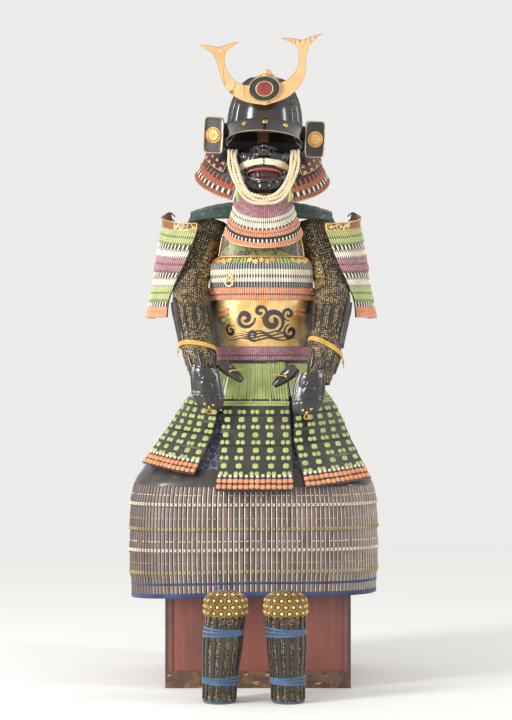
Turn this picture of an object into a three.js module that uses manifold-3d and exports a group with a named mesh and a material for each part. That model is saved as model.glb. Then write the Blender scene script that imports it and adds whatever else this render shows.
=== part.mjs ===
// A laced Japanese armour, set up as if seated on its lacquered storage chest: helmet with a gilded
// horned crest, face mask with throat guard, cuirass with seven tassets, thigh guards, armoured
// sleeves with hand guards, shoulder guards, and a pair of shin guards that stand before the chest.
// A plain wooden stand on the chest lid carries the worn pieces, which are open shells inside.
//
// Millimetres. +X is to the viewer's right, +Y away from the viewer and +Z up. The origin is the
// centre of the chest's footprint, on the floor. Left and right are the viewer's.
import * as THREE from "three";
import { mergeVertices } from "three/addons/utils/BufferGeometryUtils.js";
import Module from "manifold-3d";

const wasm = await Module();
wasm.setup();

const GAP = 0.4; // clearance between neighbouring pieces

// ---------------------------------------------------------------- materials

const material = (color, roughness, metalness = 0) =>
  new THREE.MeshStandardMaterial({ color, roughness, metalness });

const BLACK_LACQUER = material(0x2b2624, 0.3);
const RED_LACQUER = material(0x74352c, 0.55);
const GOLD = material(0xe0b060, 0.4, 0.7);
const GOLD_LEATHER = material(0xb98a4a, 0.5);
const PATTERNED_LEATHER = material(0x6f6a3c, 0.6);
const GREEN_LACE = material(0xa9b871, 0.8);
const ORANGE_LACE = material(0xd98a62, 0.8);
const PURPLE_LACE = material(0xa06a78, 0.8);
const WHITE_LACE = material(0xe9dfc4, 0.85);
const TEAL_CLOTH = material(0x3c5a60, 0.8);
const INDIGO_CLOTH = material(0x4a4f66, 0.9);
const SPLINT_CLOTH = material(0x7d6c62, 0.8);
const MAIL = material(0x5a4a38, 0.6, 0.4);
const HEXAGON_PADDING = material(0x8f7d3a, 0.6);
const STAND_WOOD = material(0x8a6a48, 0.7);

// ---------------------------------------------------------------- shape helpers

const vector = (x, y, z) => new THREE.Vector3(x, y, z);
const rad = THREE.MathUtils.degToRad;
const mix = THREE.MathUtils.lerp;
const group = new THREE.Group();

// The value of a named column at a height (or any other key) between the rows of a table.
function column(table, key, name, at) {
  const rising = table[0][key] < table[table.length - 1][key];
  const rows = rising ? table : [...table].reverse();
  if (at <= rows[0][key]) return rows[0][name];
  for (let i = 1; i < rows.length; i++) {
    if (at <= rows[i][key]) {
      const share = (at - rows[i - 1][key]) / (rows[i][key] - rows[i - 1][key]);
      return mix(rows[i - 1][name], rows[i][name], share);
    }
  }
  return rows[rows.length - 1][name];
}

function geometryOf(points, index) {
  const geometry = new THREE.BufferGeometry();
  geometry.setAttribute(
    "position",
    new THREE.Float32BufferAttribute(points.flatMap((p) => [p.x, p.y, p.z]), 3),
  );
  geometry.setIndex(index);
  return geometry;
}

// A closed wall between two grids of points, outer[row][column] and inner[row][column]. Closed walls
// run round a tube; open ones also get faces along their two sides.
function wallBetween(outer, inner, closed) {
  const rows = outer.length;
  const columns = outer[0].length;
  const spans = closed ? columns : columns - 1;
  const index = [];
  const at = (side, row, c) => side * rows * columns + row * columns + (c % columns);
  const quad = (a, b, c, d) => index.push(a, b, c, a, c, d);
  for (let c = 0; c < spans; c++) {
    for (let row = 0; row < rows - 1; row++) {
      quad(at(0, row, c), at(0, row + 1, c), at(0, row + 1, c + 1), at(0, row, c + 1));
      quad(at(1, row, c), at(1, row, c + 1), at(1, row + 1, c + 1), at(1, row + 1, c));
    }
    const last = rows - 1;
    quad(at(0, 0, c), at(0, 0, c + 1), at(1, 0, c + 1), at(1, 0, c));
    quad(at(0, last, c), at(1, last, c), at(1, last, c + 1), at(0, last, c + 1));
  }
  for (let row = 0; !closed && row < rows - 1; row++) {
    const end = columns - 1;
    quad(at(0, row, 0), at(1, row, 0), at(1, row + 1, 0), at(0, row + 1, 0));
    quad(at(0, row, end), at(0, row + 1, end), at(1, row + 1, end), at(1, row, end));
  }
  return geometryOf([...outer.flat(), ...inner.flat()], index);
}

// A wall on the surface base(u, v): u runs 0 to 1 across, to the right as seen from outside, and v
// down. Its inner face is the surface and its outer one stands thick + lift(v) outside it.
function shell({ base, columns, rows, thick, lift = () => 0, closed = false }) {
  const step = 0.002;
  const outer = [];
  const inner = [];
  const count = closed ? columns : columns + 1;
  for (const v of rows) {
    const outerRow = [];
    const innerRow = [];
    for (let c = 0; c < count; c++) {
      const u = c / columns;
      const low = closed ? u - step : Math.max(0, u - step);
      const high = closed ? u + step : Math.min(1, u + step);
      const across = base(high, v).sub(base(low, v));
      const down = base(u, Math.min(1, v + step)).sub(base(u, Math.max(0, v - step)));
      const out = down.cross(across).normalize();
      const p = base(u, v);
      innerRow.push(p.clone());
      outerRow.push(p.clone().addScaledVector(out, thick + lift(v)));
    }
    outer.push(outerRow);
    inner.push(innerRow);
  }
  return wallBetween(outer, inner, closed);
}

// Rows and lift for a surface of overlapping lames. breaks are the values of v where a lame begins,
// and each lame's lower edge stands proud of the one below it, as clapboards do.
function lames(breaks, proud) {
  const edge = 0.004;
  const rows = [];
  for (let i = 0; i < breaks.length - 1; i++) {
    rows.push(i ? breaks[i] + edge : breaks[i]);
    rows.push(i < breaks.length - 2 ? breaks[i + 1] - edge : breaks[i + 1]);
  }
  const lift = (v) => {
    const i = Math.max(0, breaks.findLastIndex((b) => b <= v));
    if (i >= breaks.length - 1) return proud;
    return proud * ((v - breaks[i]) / (breaks[i + 1] - breaks[i]));
  };
  return { rows, lift };
}

const evenly = (count) => Array.from({ length: count + 1 }, (_, i) => i / count);

function solidOf(geometry) {
  const bare = geometry.index ? geometry.clone() : mergeVertices(geometry);
  bare.deleteAttribute("normal");
  bare.deleteAttribute("uv");
  const merged = mergeVertices(bare, 1e-4);
  return new wasm.Manifold(
    new wasm.Mesh({
      numProp: 3,
      vertProperties: merged.attributes.position.array,
      triVerts: new Uint32Array(merged.index.array),
    }),
  );
}

function geometryFrom(solid) {
  const { vertProperties, triVerts, numProp } = solid.getMesh();
  const geometry = new THREE.BufferGeometry();
  const position = new Float32Array((vertProperties.length / numProp) * 3);
  for (let i = 0; i < position.length / 3; i++) {
    position.set(vertProperties.subarray(i * numProp, i * numProp + 3), i * 3);
  }
  geometry.setAttribute("position", new THREE.BufferAttribute(position, 3));
  geometry.setIndex([...triVerts]);
  return geometry;
}

const boxAt = (width, depth, height, x, y, bottom) =>
  new THREE.BoxGeometry(width, depth, height).translate(x, y, bottom + height / 2);

const uprightCylinder = (radius, height, segments) =>
  new THREE.CylinderGeometry(radius, radius, height, segments).rotateX(Math.PI / 2);

function add(name, geometry, colour, parent = group) {
  const mesh = new THREE.Mesh(geometry, colour);
  mesh.name = name;
  parent.add(mesh);
  return mesh;
}

// ---------------------------------------------------------------- storage chest and stand

const CHEST = { width: 464, depth: 400, height: 478, board: 12, lidDrop: 98, lidBoard: 5 };
const PANEL = { stile: 17, bottomRail: 42, topRail: 24, recess: 4 };

function chestBody() {
  const { width, depth, height, board, lidBoard } = CHEST;
  const tall = height - lidBoard - GAP;
  let solid = solidOf(boxAt(width, depth, tall, 0, 0, 0)).subtract(
    solidOf(boxAt(width - 2 * board, depth - 2 * board, tall, 0, 0, board)),
  );
  const panelHeight = tall - PANEL.bottomRail - PANEL.topRail;
  for (const side of [-1, 1]) {
    const front = boxAt(width - 2 * PANEL.stile, 2 * PANEL.recess, panelHeight, 0, 0, 0);
    const flank = boxAt(2 * PANEL.recess, depth - 2 * PANEL.stile, panelHeight, 0, 0, 0);
    front.translate(0, (side * depth) / 2, PANEL.bottomRail);
    flank.translate((side * width) / 2, 0, PANEL.bottomRail);
    solid = solid.subtract(solidOf(front)).subtract(solidOf(flank));
  }
  return geometryFrom(solid);
}

function chestLid() {
  const { width, depth, height, lidDrop, lidBoard } = CHEST;
  const outer = solidOf(
    boxAt(width + 2 * lidBoard, depth + 2 * lidBoard, lidDrop, 0, 0, height - lidDrop),
  );
  const inside = boxAt(width + 2 * GAP, depth + 2 * GAP, lidDrop, 0, 0, height - lidDrop - lidBoard);
  return geometryFrom(outer.subtract(solidOf(inside)));
}

const TORSO = { x: 9, y: 10 }; // the upright axis of the cuirass
const STAND = { foot: 190, footHeight: 24, post: 42, barWidth: 176, barHeight: 26, barTop: 1182 };
const NECK_POST = { x: 13, width: 28 };
const HEAD_BLOCK = { radius: 52, height: 26, bottom: 1436 };

function armourStand() {
  const { foot, footHeight, post, barWidth, barHeight, barTop } = STAND;
  const ground = CHEST.height + GAP;
  const { x, width } = NECK_POST;
  const rise = HEAD_BLOCK.bottom + 1 - (barTop - barHeight);
  const block = uprightCylinder(HEAD_BLOCK.radius, HEAD_BLOCK.height, 16);
  block.translate(TORSO.x, TORSO.y, HEAD_BLOCK.bottom + HEAD_BLOCK.height / 2);
  return geometryFrom(
    solidOf(boxAt(foot, foot, footHeight, TORSO.x, TORSO.y, ground))
      .add(solidOf(boxAt(post, post, barTop - 2 - ground, TORSO.x, TORSO.y, ground)))
      .add(solidOf(boxAt(width, width, rise, x, TORSO.y, barTop - barHeight)))
      .add(solidOf(boxAt(barWidth, post + 8, barHeight, TORSO.x, TORSO.y, barTop - barHeight)))
      .add(solidOf(block)),
  );
}

add("chest_body", chestBody(), RED_LACQUER);
add("chest_lid", chestLid(), RED_LACQUER);
add("armour_stand", armourStand(), STAND_WOOD);

// ---------------------------------------------------------------- cuirass

// Sections of the cuirass' inner face: an ellipse at each height.
const TORSO_SECTIONS = [
  { z: 1180, halfWidth: 128, halfDepth: 92 },
  { z: 1146, halfWidth: 132, halfDepth: 98 },
  { z: 1079, halfWidth: 140, halfDepth: 110 },
  { z: 1006, halfWidth: 141, halfDepth: 116 },
  { z: 973, halfWidth: 141, halfDepth: 116 },
  { z: 915, halfWidth: 138, halfDepth: 113 },
  { z: 855, halfWidth: 131, halfDepth: 107 },
  { z: 812, halfWidth: 128, halfDepth: 105 },
];

// A point of the cuirass: angle 0 is the front, and it grows to the viewer's right.
function torsoPoint(angle, z) {
  const halfWidth = column(TORSO_SECTIONS, "z", "halfWidth", z);
  const halfDepth = column(TORSO_SECTIONS, "z", "halfDepth", z);
  return vector(
    TORSO.x + halfWidth * Math.sin(angle),
    TORSO.y - halfDepth * Math.cos(angle),
    z,
  );
}

const SLIT_DEGREES = 1.6; // half of the opening at the side where the cuirass is put on

// A band right round the body, from the slit on the left side back to it.
const torsoBand = (top, bottom) => (u, v) =>
  torsoPoint(rad(mix(-90 + SLIT_DEGREES, 270 - SLIT_DEGREES, u)), mix(top, bottom, v));

// A panel on the front (turn 0) or back (turn 180) whose width comes from a table of heights.
const torsoPanel = (table, turn) => (u, v) => {
  const z = mix(table[0].z, table[table.length - 1].z, v);
  const reach = Math.asin(
    column(table, "z", "half", z) / column(TORSO_SECTIONS, "z", "halfWidth", z),
  );
  return torsoPoint(rad(turn) + mix(-reach, reach, u), z);
};

const sharesOf = (heights) => {
  const [top, bottom] = [heights[0], heights[heights.length - 1]];
  return heights.map((z) => (top - z) / (top - bottom));
};

const PLATE_THICK = 3.5;
const LAME_PROUD = 2.5;
const BAND_COLUMNS = 26;

const UPPER_ROWS = [1006, 988, 973.4];
const BELLY_ROWS = [972.9, 915, 855.1];
const WAIST_ROWS = [854.6, 832, 819, 812];
const CHEST_ROWS = [1086, 1056, 1036, 1019, 1006.4];
const BACK_ROWS = [1070, 1050, 1028, 1006.4];

const CHEST_OUTLINE = [
  { z: 1086, half: 100 },
  { z: 1078, half: 117 },
  { z: 1058, half: 126.5 },
  { z: 1006.4, half: 129 },
];
const BREAST_OUTLINE = [
  { z: 1152, half: 84 },
  { z: 1140, half: 97 },
  { z: 1086.4, half: 107 },
];
const BACK_OUTLINE = [
  { z: 1070, half: 126 },
  { z: 1006.4, half: 129 },
];
const BACK_PLATE_OUTLINE = [
  { z: 1178, half: 108 },
  { z: 1150, half: 122 },
  { z: 1070.4, half: 125 },
];

function laminatedBand(heights, columns, base) {
  const { rows, lift } = lames(sharesOf(heights), LAME_PROUD);
  return shell({ base, columns, rows, thick: PLATE_THICK, lift });
}

const roundBody = (heights) =>
  laminatedBand(heights, BAND_COLUMNS, torsoBand(heights[0], heights[heights.length - 1]));

// The breast plate dips at the neck and the back plate rises behind it.
const neckDip = (base, depth, width) => (u, v) => {
  const p = base(u, v);
  const away = (p.x - TORSO.x) / width;
  return p.setZ(p.z - depth * Math.exp(-away * away) * (1 - v) ** 2);
};

add("cuirass_upper_rows", roundBody(UPPER_ROWS), ORANGE_LACE);
add(
  "cuirass_belly",
  shell({
    base: torsoBand(BELLY_ROWS[0], BELLY_ROWS[2]),
    columns: BAND_COLUMNS,
    rows: sharesOf(BELLY_ROWS),
    thick: PLATE_THICK + 1,
  }),
  GOLD_LEATHER,
);
add("cuirass_waist_rows", roundBody(WAIST_ROWS), PURPLE_LACE);
add(
  "cuirass_chest_rows",
  laminatedBand(CHEST_ROWS, 12, torsoPanel(CHEST_OUTLINE, 0)),
  WHITE_LACE,
);
add(
  "breast_plate",
  shell({
    base: neckDip(torsoPanel(BREAST_OUTLINE, 0), 22, 48),
    columns: 12,
    rows: sharesOf([1152, 1140, 1114, 1086.4]),
    thick: PLATE_THICK,
  }),
  PATTERNED_LEATHER,
);
add(
  "cuirass_back_rows",
  laminatedBand(BACK_ROWS, 10, torsoPanel(BACK_OUTLINE, 180)),
  ORANGE_LACE,
);
add(
  "back_plate",
  shell({
    base: neckDip(torsoPanel(BACK_PLATE_OUTLINE, 180), -10, 60),
    columns: 10,
    rows: sharesOf([1178, 1150, 1110, 1070.4]),
    thick: PLATE_THICK,
  }),
  PATTERNED_LEATHER,
);

// Shoulder straps run over the stand's bar, from inside the back plate to inside the breast plate.
const STRAP = { x: 68, half: 18, thick: 5 };
const STRAP_PATH = [
  { along: 0, y: -76, z: 1118 },
  { along: 0.25, y: -66, z: 1170 },
  { along: 0.42, y: -34, z: STAND.barTop + GAP },
  { along: 0.62, y: 34, z: STAND.barTop + GAP },
  { along: 0.8, y: 60, z: 1172 },
  { along: 1, y: 76, z: 1120 },
];

function shoulderStrap(side) {
  const flatness = (x) => Math.sqrt(1 - (x / TORSO_SECTIONS[0].halfWidth) ** 2);
  const base = (u, v) => {
    const x = side * STRAP.x + mix(STRAP.half, -STRAP.half, u);
    const y = column(STRAP_PATH, "along", "y", v) * (flatness(x) / flatness(STRAP.x));
    return vector(TORSO.x + x, TORSO.y + y, column(STRAP_PATH, "along", "z", v));
  };
  return shell({ base, columns: 4, rows: STRAP_PATH.map((r) => r.along), thick: STRAP.thick });
}

// Padded wings lie over the shoulders, between the neck and the shoulder guards.
const WING = { inner: 48, outer: 182, front: -72, back: 68, crown: 1228, fall: 26, sag: 46 };

function shoulderWing(side) {
  const base = (u, v) => {
    const out = side > 0 ? u : 1 - u;
    const y = mix(WING.back, WING.front, v) * (1 - 0.25 * out);
    const across = (y - 2) / WING.front;
    const x = mix(WING.inner, WING.outer, out);
    return vector(
      TORSO.x + side * x,
      TORSO.y + y,
      WING.crown - WING.fall * out ** 2 - WING.sag * across * across,
    );
  };
  return shell({ base, columns: 5, rows: evenly(6), thick: 4 });
}

for (const [name, side] of [["left", -1], ["right", 1]]) {
  add(`shoulder_strap_${name}`, shoulderStrap(side), PATTERNED_LEATHER);
  add(`shoulder_wing_${name}`, shoulderWing(side), TEAL_CLOTH);
}

// ---------------------------------------------------------------- baton ring on the chest

const STAPLE = { x: -76, z: 1030, standOff: 9, boss: 9, bossDepth: 4, eye: 4.2, eyeWire: 1.3 };
const BATON_RING = { radius: 11, wire: 1.5 };

// The staple and its ring share a frame whose -Y looks straight out from the chest's face.
const stapleFrame = new THREE.Group();
{
  const halfWidth = column(TORSO_SECTIONS, "z", "halfWidth", STAPLE.z);
  const halfDepth = column(TORSO_SECTIONS, "z", "halfDepth", STAPLE.z);
  const angle = Math.asin(STAPLE.x / halfWidth);
  stapleFrame.rotation.z = Math.atan2(Math.sin(angle) / halfWidth, Math.cos(angle) / halfDepth);
  stapleFrame.position.copy(torsoPoint(angle, STAPLE.z));
  stapleFrame.translateY(-PLATE_THICK - LAME_PROUD - 2 * GAP);
  group.add(stapleFrame);
}

function ringStaple() {
  const boss = new THREE.CylinderGeometry(STAPLE.boss, STAPLE.boss - 2, STAPLE.bossDepth, 16);
  boss.translate(0, -STAPLE.bossDepth / 2, 0);
  const eye = new THREE.TorusGeometry(STAPLE.eye, STAPLE.eyeWire, 6, 12);
  eye.rotateY(Math.PI / 2).translate(0, -STAPLE.standOff, 0);
  const stem = boxAt(2, STAPLE.standOff - STAPLE.eye, 2, 0, 0, -1);
  stem.translate(0, -(STAPLE.standOff - STAPLE.eye) / 2, 0);
  return geometryFrom(solidOf(boss).add(solidOf(eye)).add(solidOf(stem)));
}

add("ring_staple", ringStaple(), GOLD, stapleFrame);
add(
  "baton_ring",
  new THREE.TorusGeometry(BATON_RING.radius, BATON_RING.wire, 6, 18)
    .rotateX(Math.PI / 2)
    .translate(0, -STAPLE.standOff, -BATON_RING.radius),
  GOLD,
  stapleFrame,
);

// ---------------------------------------------------------------- tassets

// root is where a tasset hangs on the waist and faces the way its lower edge looks, both in degrees
// from the front to the viewer's right. flare is how far its lower edge stands out from the waist
// and drop how far it hangs. skew lifts its right end, or its left one if negative. The widths are
// at its top edge, at its first plate and at its hem.
const TASSET_COLUMNS = ["name", "root", "faces", "flare", "drop", "skew", "top", "first", "hem"];
const TASSETS = [
  ["front", -5, -2, 190, 314, 0, 136, 164, 190],
  ["front_right", 54, 26, 212, 298, 10, 84, 132, 180],
  ["side_right", 108, 98, 112, 300, 0, 84, 112, 190],
  ["back_right", 160, 148, 100, 302, 0, 80, 92, 190],
  ["back_left", 200, 212, 100, 302, 0, 80, 92, 190],
  ["side_left", 249, 261, 112, 300, 0, 82, 112, 190],
  ["front_left", 300, 322, 212, 264, -12, 76, 122, 168],
].map((row) => Object.fromEntries(row.map((value, i) => [TASSET_COLUMNS[i], value])));
const TASSET = { topEdge: 810.4, thick: 4, bow: 14, curl: 1.25 };
const TASSET_BREAKS = [0, 0.3, 0.42, 0.54, 0.66, 0.78, 0.9, 1]; // lacing, then the lames

function tassetBase({ root, faces, flare, drop, skew, top, first, hem }) {
  const hung = torsoPoint(rad(root), TORSO_SECTIONS[TORSO_SECTIONS.length - 1].z);
  return (u, v) => {
    const side = 2 * u - 1;
    const angle = rad(mix(root, faces, Math.min(1, 1.6 * v)));
    const out = vector(Math.sin(angle), -Math.cos(angle), 0);
    const across = vector(Math.cos(angle), Math.sin(angle), 0);
    const lacing = TASSET_BREAKS[1];
    const width =
      v < lacing
        ? mix(top, first, v / lacing)
        : mix(first, hem, (v - lacing) / (1 - lacing));
    return hung
      .clone()
      .addScaledVector(out, flare * v ** TASSET.curl - TASSET.bow * side * side)
      .addScaledVector(across, (side * width) / 2)
      .setZ(TASSET.topEdge - drop * v + skew * side * v);
  };
}

for (const tasset of TASSETS) {
  const { rows, lift } = lames(TASSET_BREAKS, LAME_PROUD);
  add(
    `tasset_${tasset.name}`,
    shell({ base: tassetBase(tasset), columns: 4, rows, thick: TASSET.thick, lift }),
    GREEN_LACE,
  );
}

// ---------------------------------------------------------------- thigh guards

// The thigh guard's plan at each height: reach forward at the middle, half width, and how far the
// sides fold back. It hangs from the waist, over the front of the chest.
const THIGH_SECTIONS = [
  { z: 690, front: -120, half: 132, fold: 90 },
  { z: 640, front: -148, half: 184, fold: 120 },
  { z: 585, front: -190, half: 246, fold: 146 },
  { z: 545, front: -222, half: 278, fold: 164 },
  { z: 510, front: -245, half: 299, fold: 156 },
  { z: 440, front: -252, half: 308, fold: 150 },
  { z: 330, front: -254, half: 309, fold: 146 },
  { z: 222, front: -256, half: 301, fold: 142 },
];
const THIGH = { x: -11, seam: -20, thick: 3.5, proud: 3, hemRise: 14, turn: rad(82), bend: 1.6 };
const THIGH_ROWS = [509.6, 453, 391, 337, 281, 224];
const THIGH_CLOTH_ROWS = [690, 640, 585, 545, 510.4];

// across runs from -1 at the left edge to 1 at the right one.
function thighPoint(across, z) {
  const half = column(THIGH_SECTIONS, "z", "half", z);
  const fold = column(THIGH_SECTIONS, "z", "fold", z);
  const angle = across * THIGH.turn;
  const x = THIGH.x + (half * Math.sin(angle)) / Math.sin(THIGH.turn);
  const y = column(THIGH_SECTIONS, "z", "front", z) + fold * (1 - Math.cos(angle)) ** THIGH.bend;
  return vector(x, y, z);
}

// The value of across where the surface passes a given x.
function acrossAt(x, z) {
  const half = column(THIGH_SECTIONS, "z", "half", z);
  return Math.asin(((x - THIGH.x) * Math.sin(THIGH.turn)) / half) / THIGH.turn;
}

function thighGuard(side) {
  const [top, hem] = [THIGH_ROWS[0], THIGH_ROWS[THIGH_ROWS.length - 1]];
  const split = acrossAt(THIGH.seam + side * GAP, (top + hem) / 2);
  const base = (u, v) => {
    const across = side < 0 ? mix(-1, split, u) : mix(split, 1, u);
    const rise = THIGH.hemRise * Math.min(1, 1 + across);
    return thighPoint(across, mix(top, hem + rise, v));
  };
  const { rows, lift } = lames(sharesOf(THIGH_ROWS), THIGH.proud);
  return shell({ base, columns: 9, rows, thick: THIGH.thick, lift });
}

add("thigh_guard_left", thighGuard(-1), SPLINT_CLOTH);
add("thigh_guard_right", thighGuard(1), SPLINT_CLOTH);
add(
  "thigh_guard_cloth",
  shell({
    base: (u, v) => thighPoint(mix(-1, 1, u), mix(THIGH_CLOTH_ROWS[0], THIGH_CLOTH_ROWS[4], v)),
    columns: 14,
    rows: sharesOf(THIGH_CLOTH_ROWS),
    thick: 2.5,
  }),
  INDIGO_CLOTH,
);

// ---------------------------------------------------------------- sleeves and hand guards

// The left sleeve's centre line and section, from the shoulder to the wrist; x is from the torso's
// axis, negative to the left, and the right sleeve is its mirror image.
const SLEEVE_SECTIONS = [
  { x: -139, y: 10, z: 1184, halfWidth: 45, halfDepth: 36 },
  { x: -147, y: 5, z: 1145, halfWidth: 53, halfDepth: 38 },
  { x: -170, y: -10, z: 1074, halfWidth: 47, halfDepth: 37 },
  { x: -182, y: -38, z: 1014, halfWidth: 43, halfDepth: 36 },
  { x: -182, y: -75, z: 966, halfWidth: 44, halfDepth: 36 },
  { x: -175, y: -103, z: 926, halfWidth: 43, halfDepth: 34 },
  { x: -167, y: -128, z: 880, halfWidth: 40, halfDepth: 31 },
  { x: -158, y: -147, z: 833, halfWidth: 38, halfDepth: 29 },
  { x: -149, y: -158, z: 795, halfWidth: 33, halfDepth: 26 },
  { x: -143, y: -166, z: 764, halfWidth: 27, halfDepth: 19 },
];
const SLEEVE_THICK = 2.5;

const sleeveAxis = (side) =>
  SLEEVE_SECTIONS.map((s) => vector(TORSO.x - side * s.x, TORSO.y - 10 + s.y, s.z));

// A point of the sleeve: the sections stand square to the centre line.
function sleeveBase(side) {
  const axis = sleeveAxis(side);
  const last = axis.length - 1;
  return (u, v) => {
    const t = v * last;
    const i = Math.min(last - 1, Math.floor(t));
    const share = t - i;
    const centre = axis[i].clone().lerp(axis[i + 1], share);
    const tangentAt = (k) =>
      axis[Math.min(last, k + 1)].clone().sub(axis[Math.max(0, k - 1)]).normalize();
    const down = tangentAt(i).lerp(tangentAt(i + 1), share).normalize();
    const right = vector(1, 0, 0).addScaledVector(down, -down.x).normalize();
    const back = down.clone().cross(right);
    const halfWidth = mix(SLEEVE_SECTIONS[i].halfWidth, SLEEVE_SECTIONS[i + 1].halfWidth, share);
    const halfDepth = mix(SLEEVE_SECTIONS[i].halfDepth, SLEEVE_SECTIONS[i + 1].halfDepth, share);
    const angle = u * 2 * Math.PI;
    return centre
      .addScaledVector(right, halfWidth * Math.sin(angle))
      .addScaledVector(back, halfDepth * Math.cos(angle));
  };
}

// The back of the hand: a plate domed over the knuckles that narrows to the fingers.
const HAND = { y: -192, length: 102, lean: 12, dome: 17, tilt: 6, curl: 8, thick: 3 };
const HAND_PLACES = { left: { x: -133, top: 802 }, right: { x: 133, top: 789 } };
const HAND_OUTLINE = [
  { share: 0, half: 27 },
  { share: 0.15, half: 35 },
  { share: 0.62, half: 38 },
  { share: 0.72, half: 37 },
  { share: 0.9, half: 31 },
  { share: 1, half: 20 },
];

function handGuard(name, side) {
  const { x, top } = HAND_PLACES[name];
  const base = (u, v) => {
    const s = 2 * u - 1;
    const half = column(HAND_OUTLINE, "share", "half", v);
    return vector(
      x - side * HAND.lean * v + s * half,
      HAND.y - HAND.dome * (1 - s * s) + HAND.curl * v * v,
      top - HAND.length * v + side * HAND.tilt * s,
    );
  };
  return shell({ base, columns: 6, rows: HAND_OUTLINE.map((r) => r.share), thick: HAND.thick });
}

// The thumb's plate reaches inwards and down from the wrist.
const THUMB = { fromX: 36, toX: 94, rise: 12, drop: 34, y: -184, dome: 8 };
const THUMB_OUTLINE = [
  { share: 0, half: 8 },
  { share: 0.2, half: 15 },
  { share: 0.6, half: 12 },
  { share: 0.85, half: 8 },
  { share: 1, half: 4 },
];

function thumbGuard(name, side) {
  const { x, top } = HAND_PLACES[name];
  const start = vector(x - side * THUMB.fromX, THUMB.y, top + THUMB.rise);
  const end = vector(x - side * THUMB.toX, THUMB.y + 6, top - THUMB.drop);
  const along = end.clone().sub(start).normalize();
  const across = along.clone().cross(vector(0, -1, 0)).normalize();
  const base = (u, v) => {
    const s = 1 - 2 * u;
    return start
      .clone()
      .lerp(end, v)
      .addScaledVector(across, s * column(THUMB_OUTLINE, "share", "half", v))
      .add(vector(0, -THUMB.dome * (1 - s * s), 0));
  };
  return shell({ base, columns: 4, rows: THUMB_OUTLINE.map((r) => r.share), thick: 2.5 });
}

for (const [name, side] of [["left", -1], ["right", 1]]) {
  add(
    `sleeve_${name}`,
    shell({
      base: sleeveBase(side),
      columns: 12,
      rows: evenly(SLEEVE_SECTIONS.length - 1),
      thick: SLEEVE_THICK,
      closed: true,
    }),
    MAIL,
  );
  add(`hand_guard_${name}`, handGuard(name, side), BLACK_LACQUER);
  add(`thumb_guard_${name}`, thumbGuard(name, side), BLACK_LACQUER);
}

// ---------------------------------------------------------------- shoulder guards

// Plan of the left shoulder guard at each height: an arc of an ellipse round the upper arm, from
// the angle "from", measured from the front, to "to" behind. x is from the torso's axis.
const SHOULDER_SECTIONS = [
  { z: 1194, x: -158, halfWidth: 91, halfDepth: 80, from: 0, to: 128 },
  { z: 1074, x: -171, halfWidth: 100, halfDepth: 86, from: 15.5, to: 128 },
  { z: 1014, x: -183, halfWidth: 96, halfDepth: 92, from: 24, to: 126 },
  { z: 968, x: -194, halfWidth: 94, halfDepth: 92, from: 27, to: 125 },
  { z: 928, x: -203, halfWidth: 92, halfDepth: 92, from: 24, to: 124 },
];
const SHOULDER = { y: 15, topSlope: 0.25, crownHeight: 24, thick: 4, crownLean: 7, seam: 1.6 };
const SHOULDER_ROWS = [1168, 1130, 1091, 1051, 1011, 970, 929];

function shoulderPoint(side, share, z) {
  const value = (name) => column(SHOULDER_SECTIONS, "z", name, z);
  const angle = rad(mix(value("from"), value("to"), share));
  const y = SHOULDER.y - value("halfDepth") * Math.cos(angle);
  const slope = SHOULDER.topSlope * THREE.MathUtils.clamp((z - 980) / 190, 0, 1.15);
  return vector(
    TORSO.x - side * (value("x") - value("halfWidth") * Math.sin(angle)),
    y,
    z + slope * (y - SHOULDER.y),
  );
}

function shoulderLames(side) {
  const base = (u, v) =>
    shoulderPoint(side, side > 0 ? u : 1 - u, mix(SHOULDER_ROWS[0], SHOULDER_ROWS[6], v));
  const { rows, lift } = lames(sharesOf(SHOULDER_ROWS), LAME_PROUD);
  return shell({ base, columns: 7, rows, thick: SHOULDER.thick, lift });
}

function shoulderCrown(side) {
  const bottom = SHOULDER_ROWS[0] + SHOULDER.seam;
  const base = (u, v) => {
    const share = side > 0 ? u : 1 - u;
    const p = shoulderPoint(side, share, mix(bottom + SHOULDER.crownHeight, bottom, v));
    return p.setX(p.x + side * SHOULDER.crownLean * (1 - v));
  };
  return shell({ base, columns: 7, rows: [0, 1], thick: SHOULDER.thick });
}

for (const [name, side] of [["left", -1], ["right", 1]]) {
  add(`shoulder_crown_${name}`, shoulderCrown(side), GOLD);
  add(`shoulder_lames_${name}`, shoulderLames(side), GREEN_LACE);
}

// ---------------------------------------------------------------- helmet

// The helmet is modelled upright about the centre of its brim, then pitched forward and rolled.
const HELMET = { x: 17, y: -4, z: 1418, pitch: 9, roll: 2.5 };
const BOWL = {
  halfWidth: 93,
  halfDepth: 108,
  height: 138,
  power: 2.25,
  thick: 3,
  crownHole: 0.13,
  band: 34,
};
const helmet = new THREE.Group();
helmet.position.set(HELMET.x, HELMET.y, HELMET.z);
helmet.rotation.set(rad(HELMET.pitch), rad(HELMET.roll), 0);
group.add(helmet);

// A point of the bowl's inner face: angle from the front to the right, and share of its height.
function bowlPoint(angle, share) {
  const wide = (1 - share ** BOWL.power) ** (1 / BOWL.power);
  return vector(
    BOWL.halfWidth * wide * Math.sin(angle),
    -BOWL.halfDepth * wide * Math.cos(angle),
    BOWL.height * share,
  );
}

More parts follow.
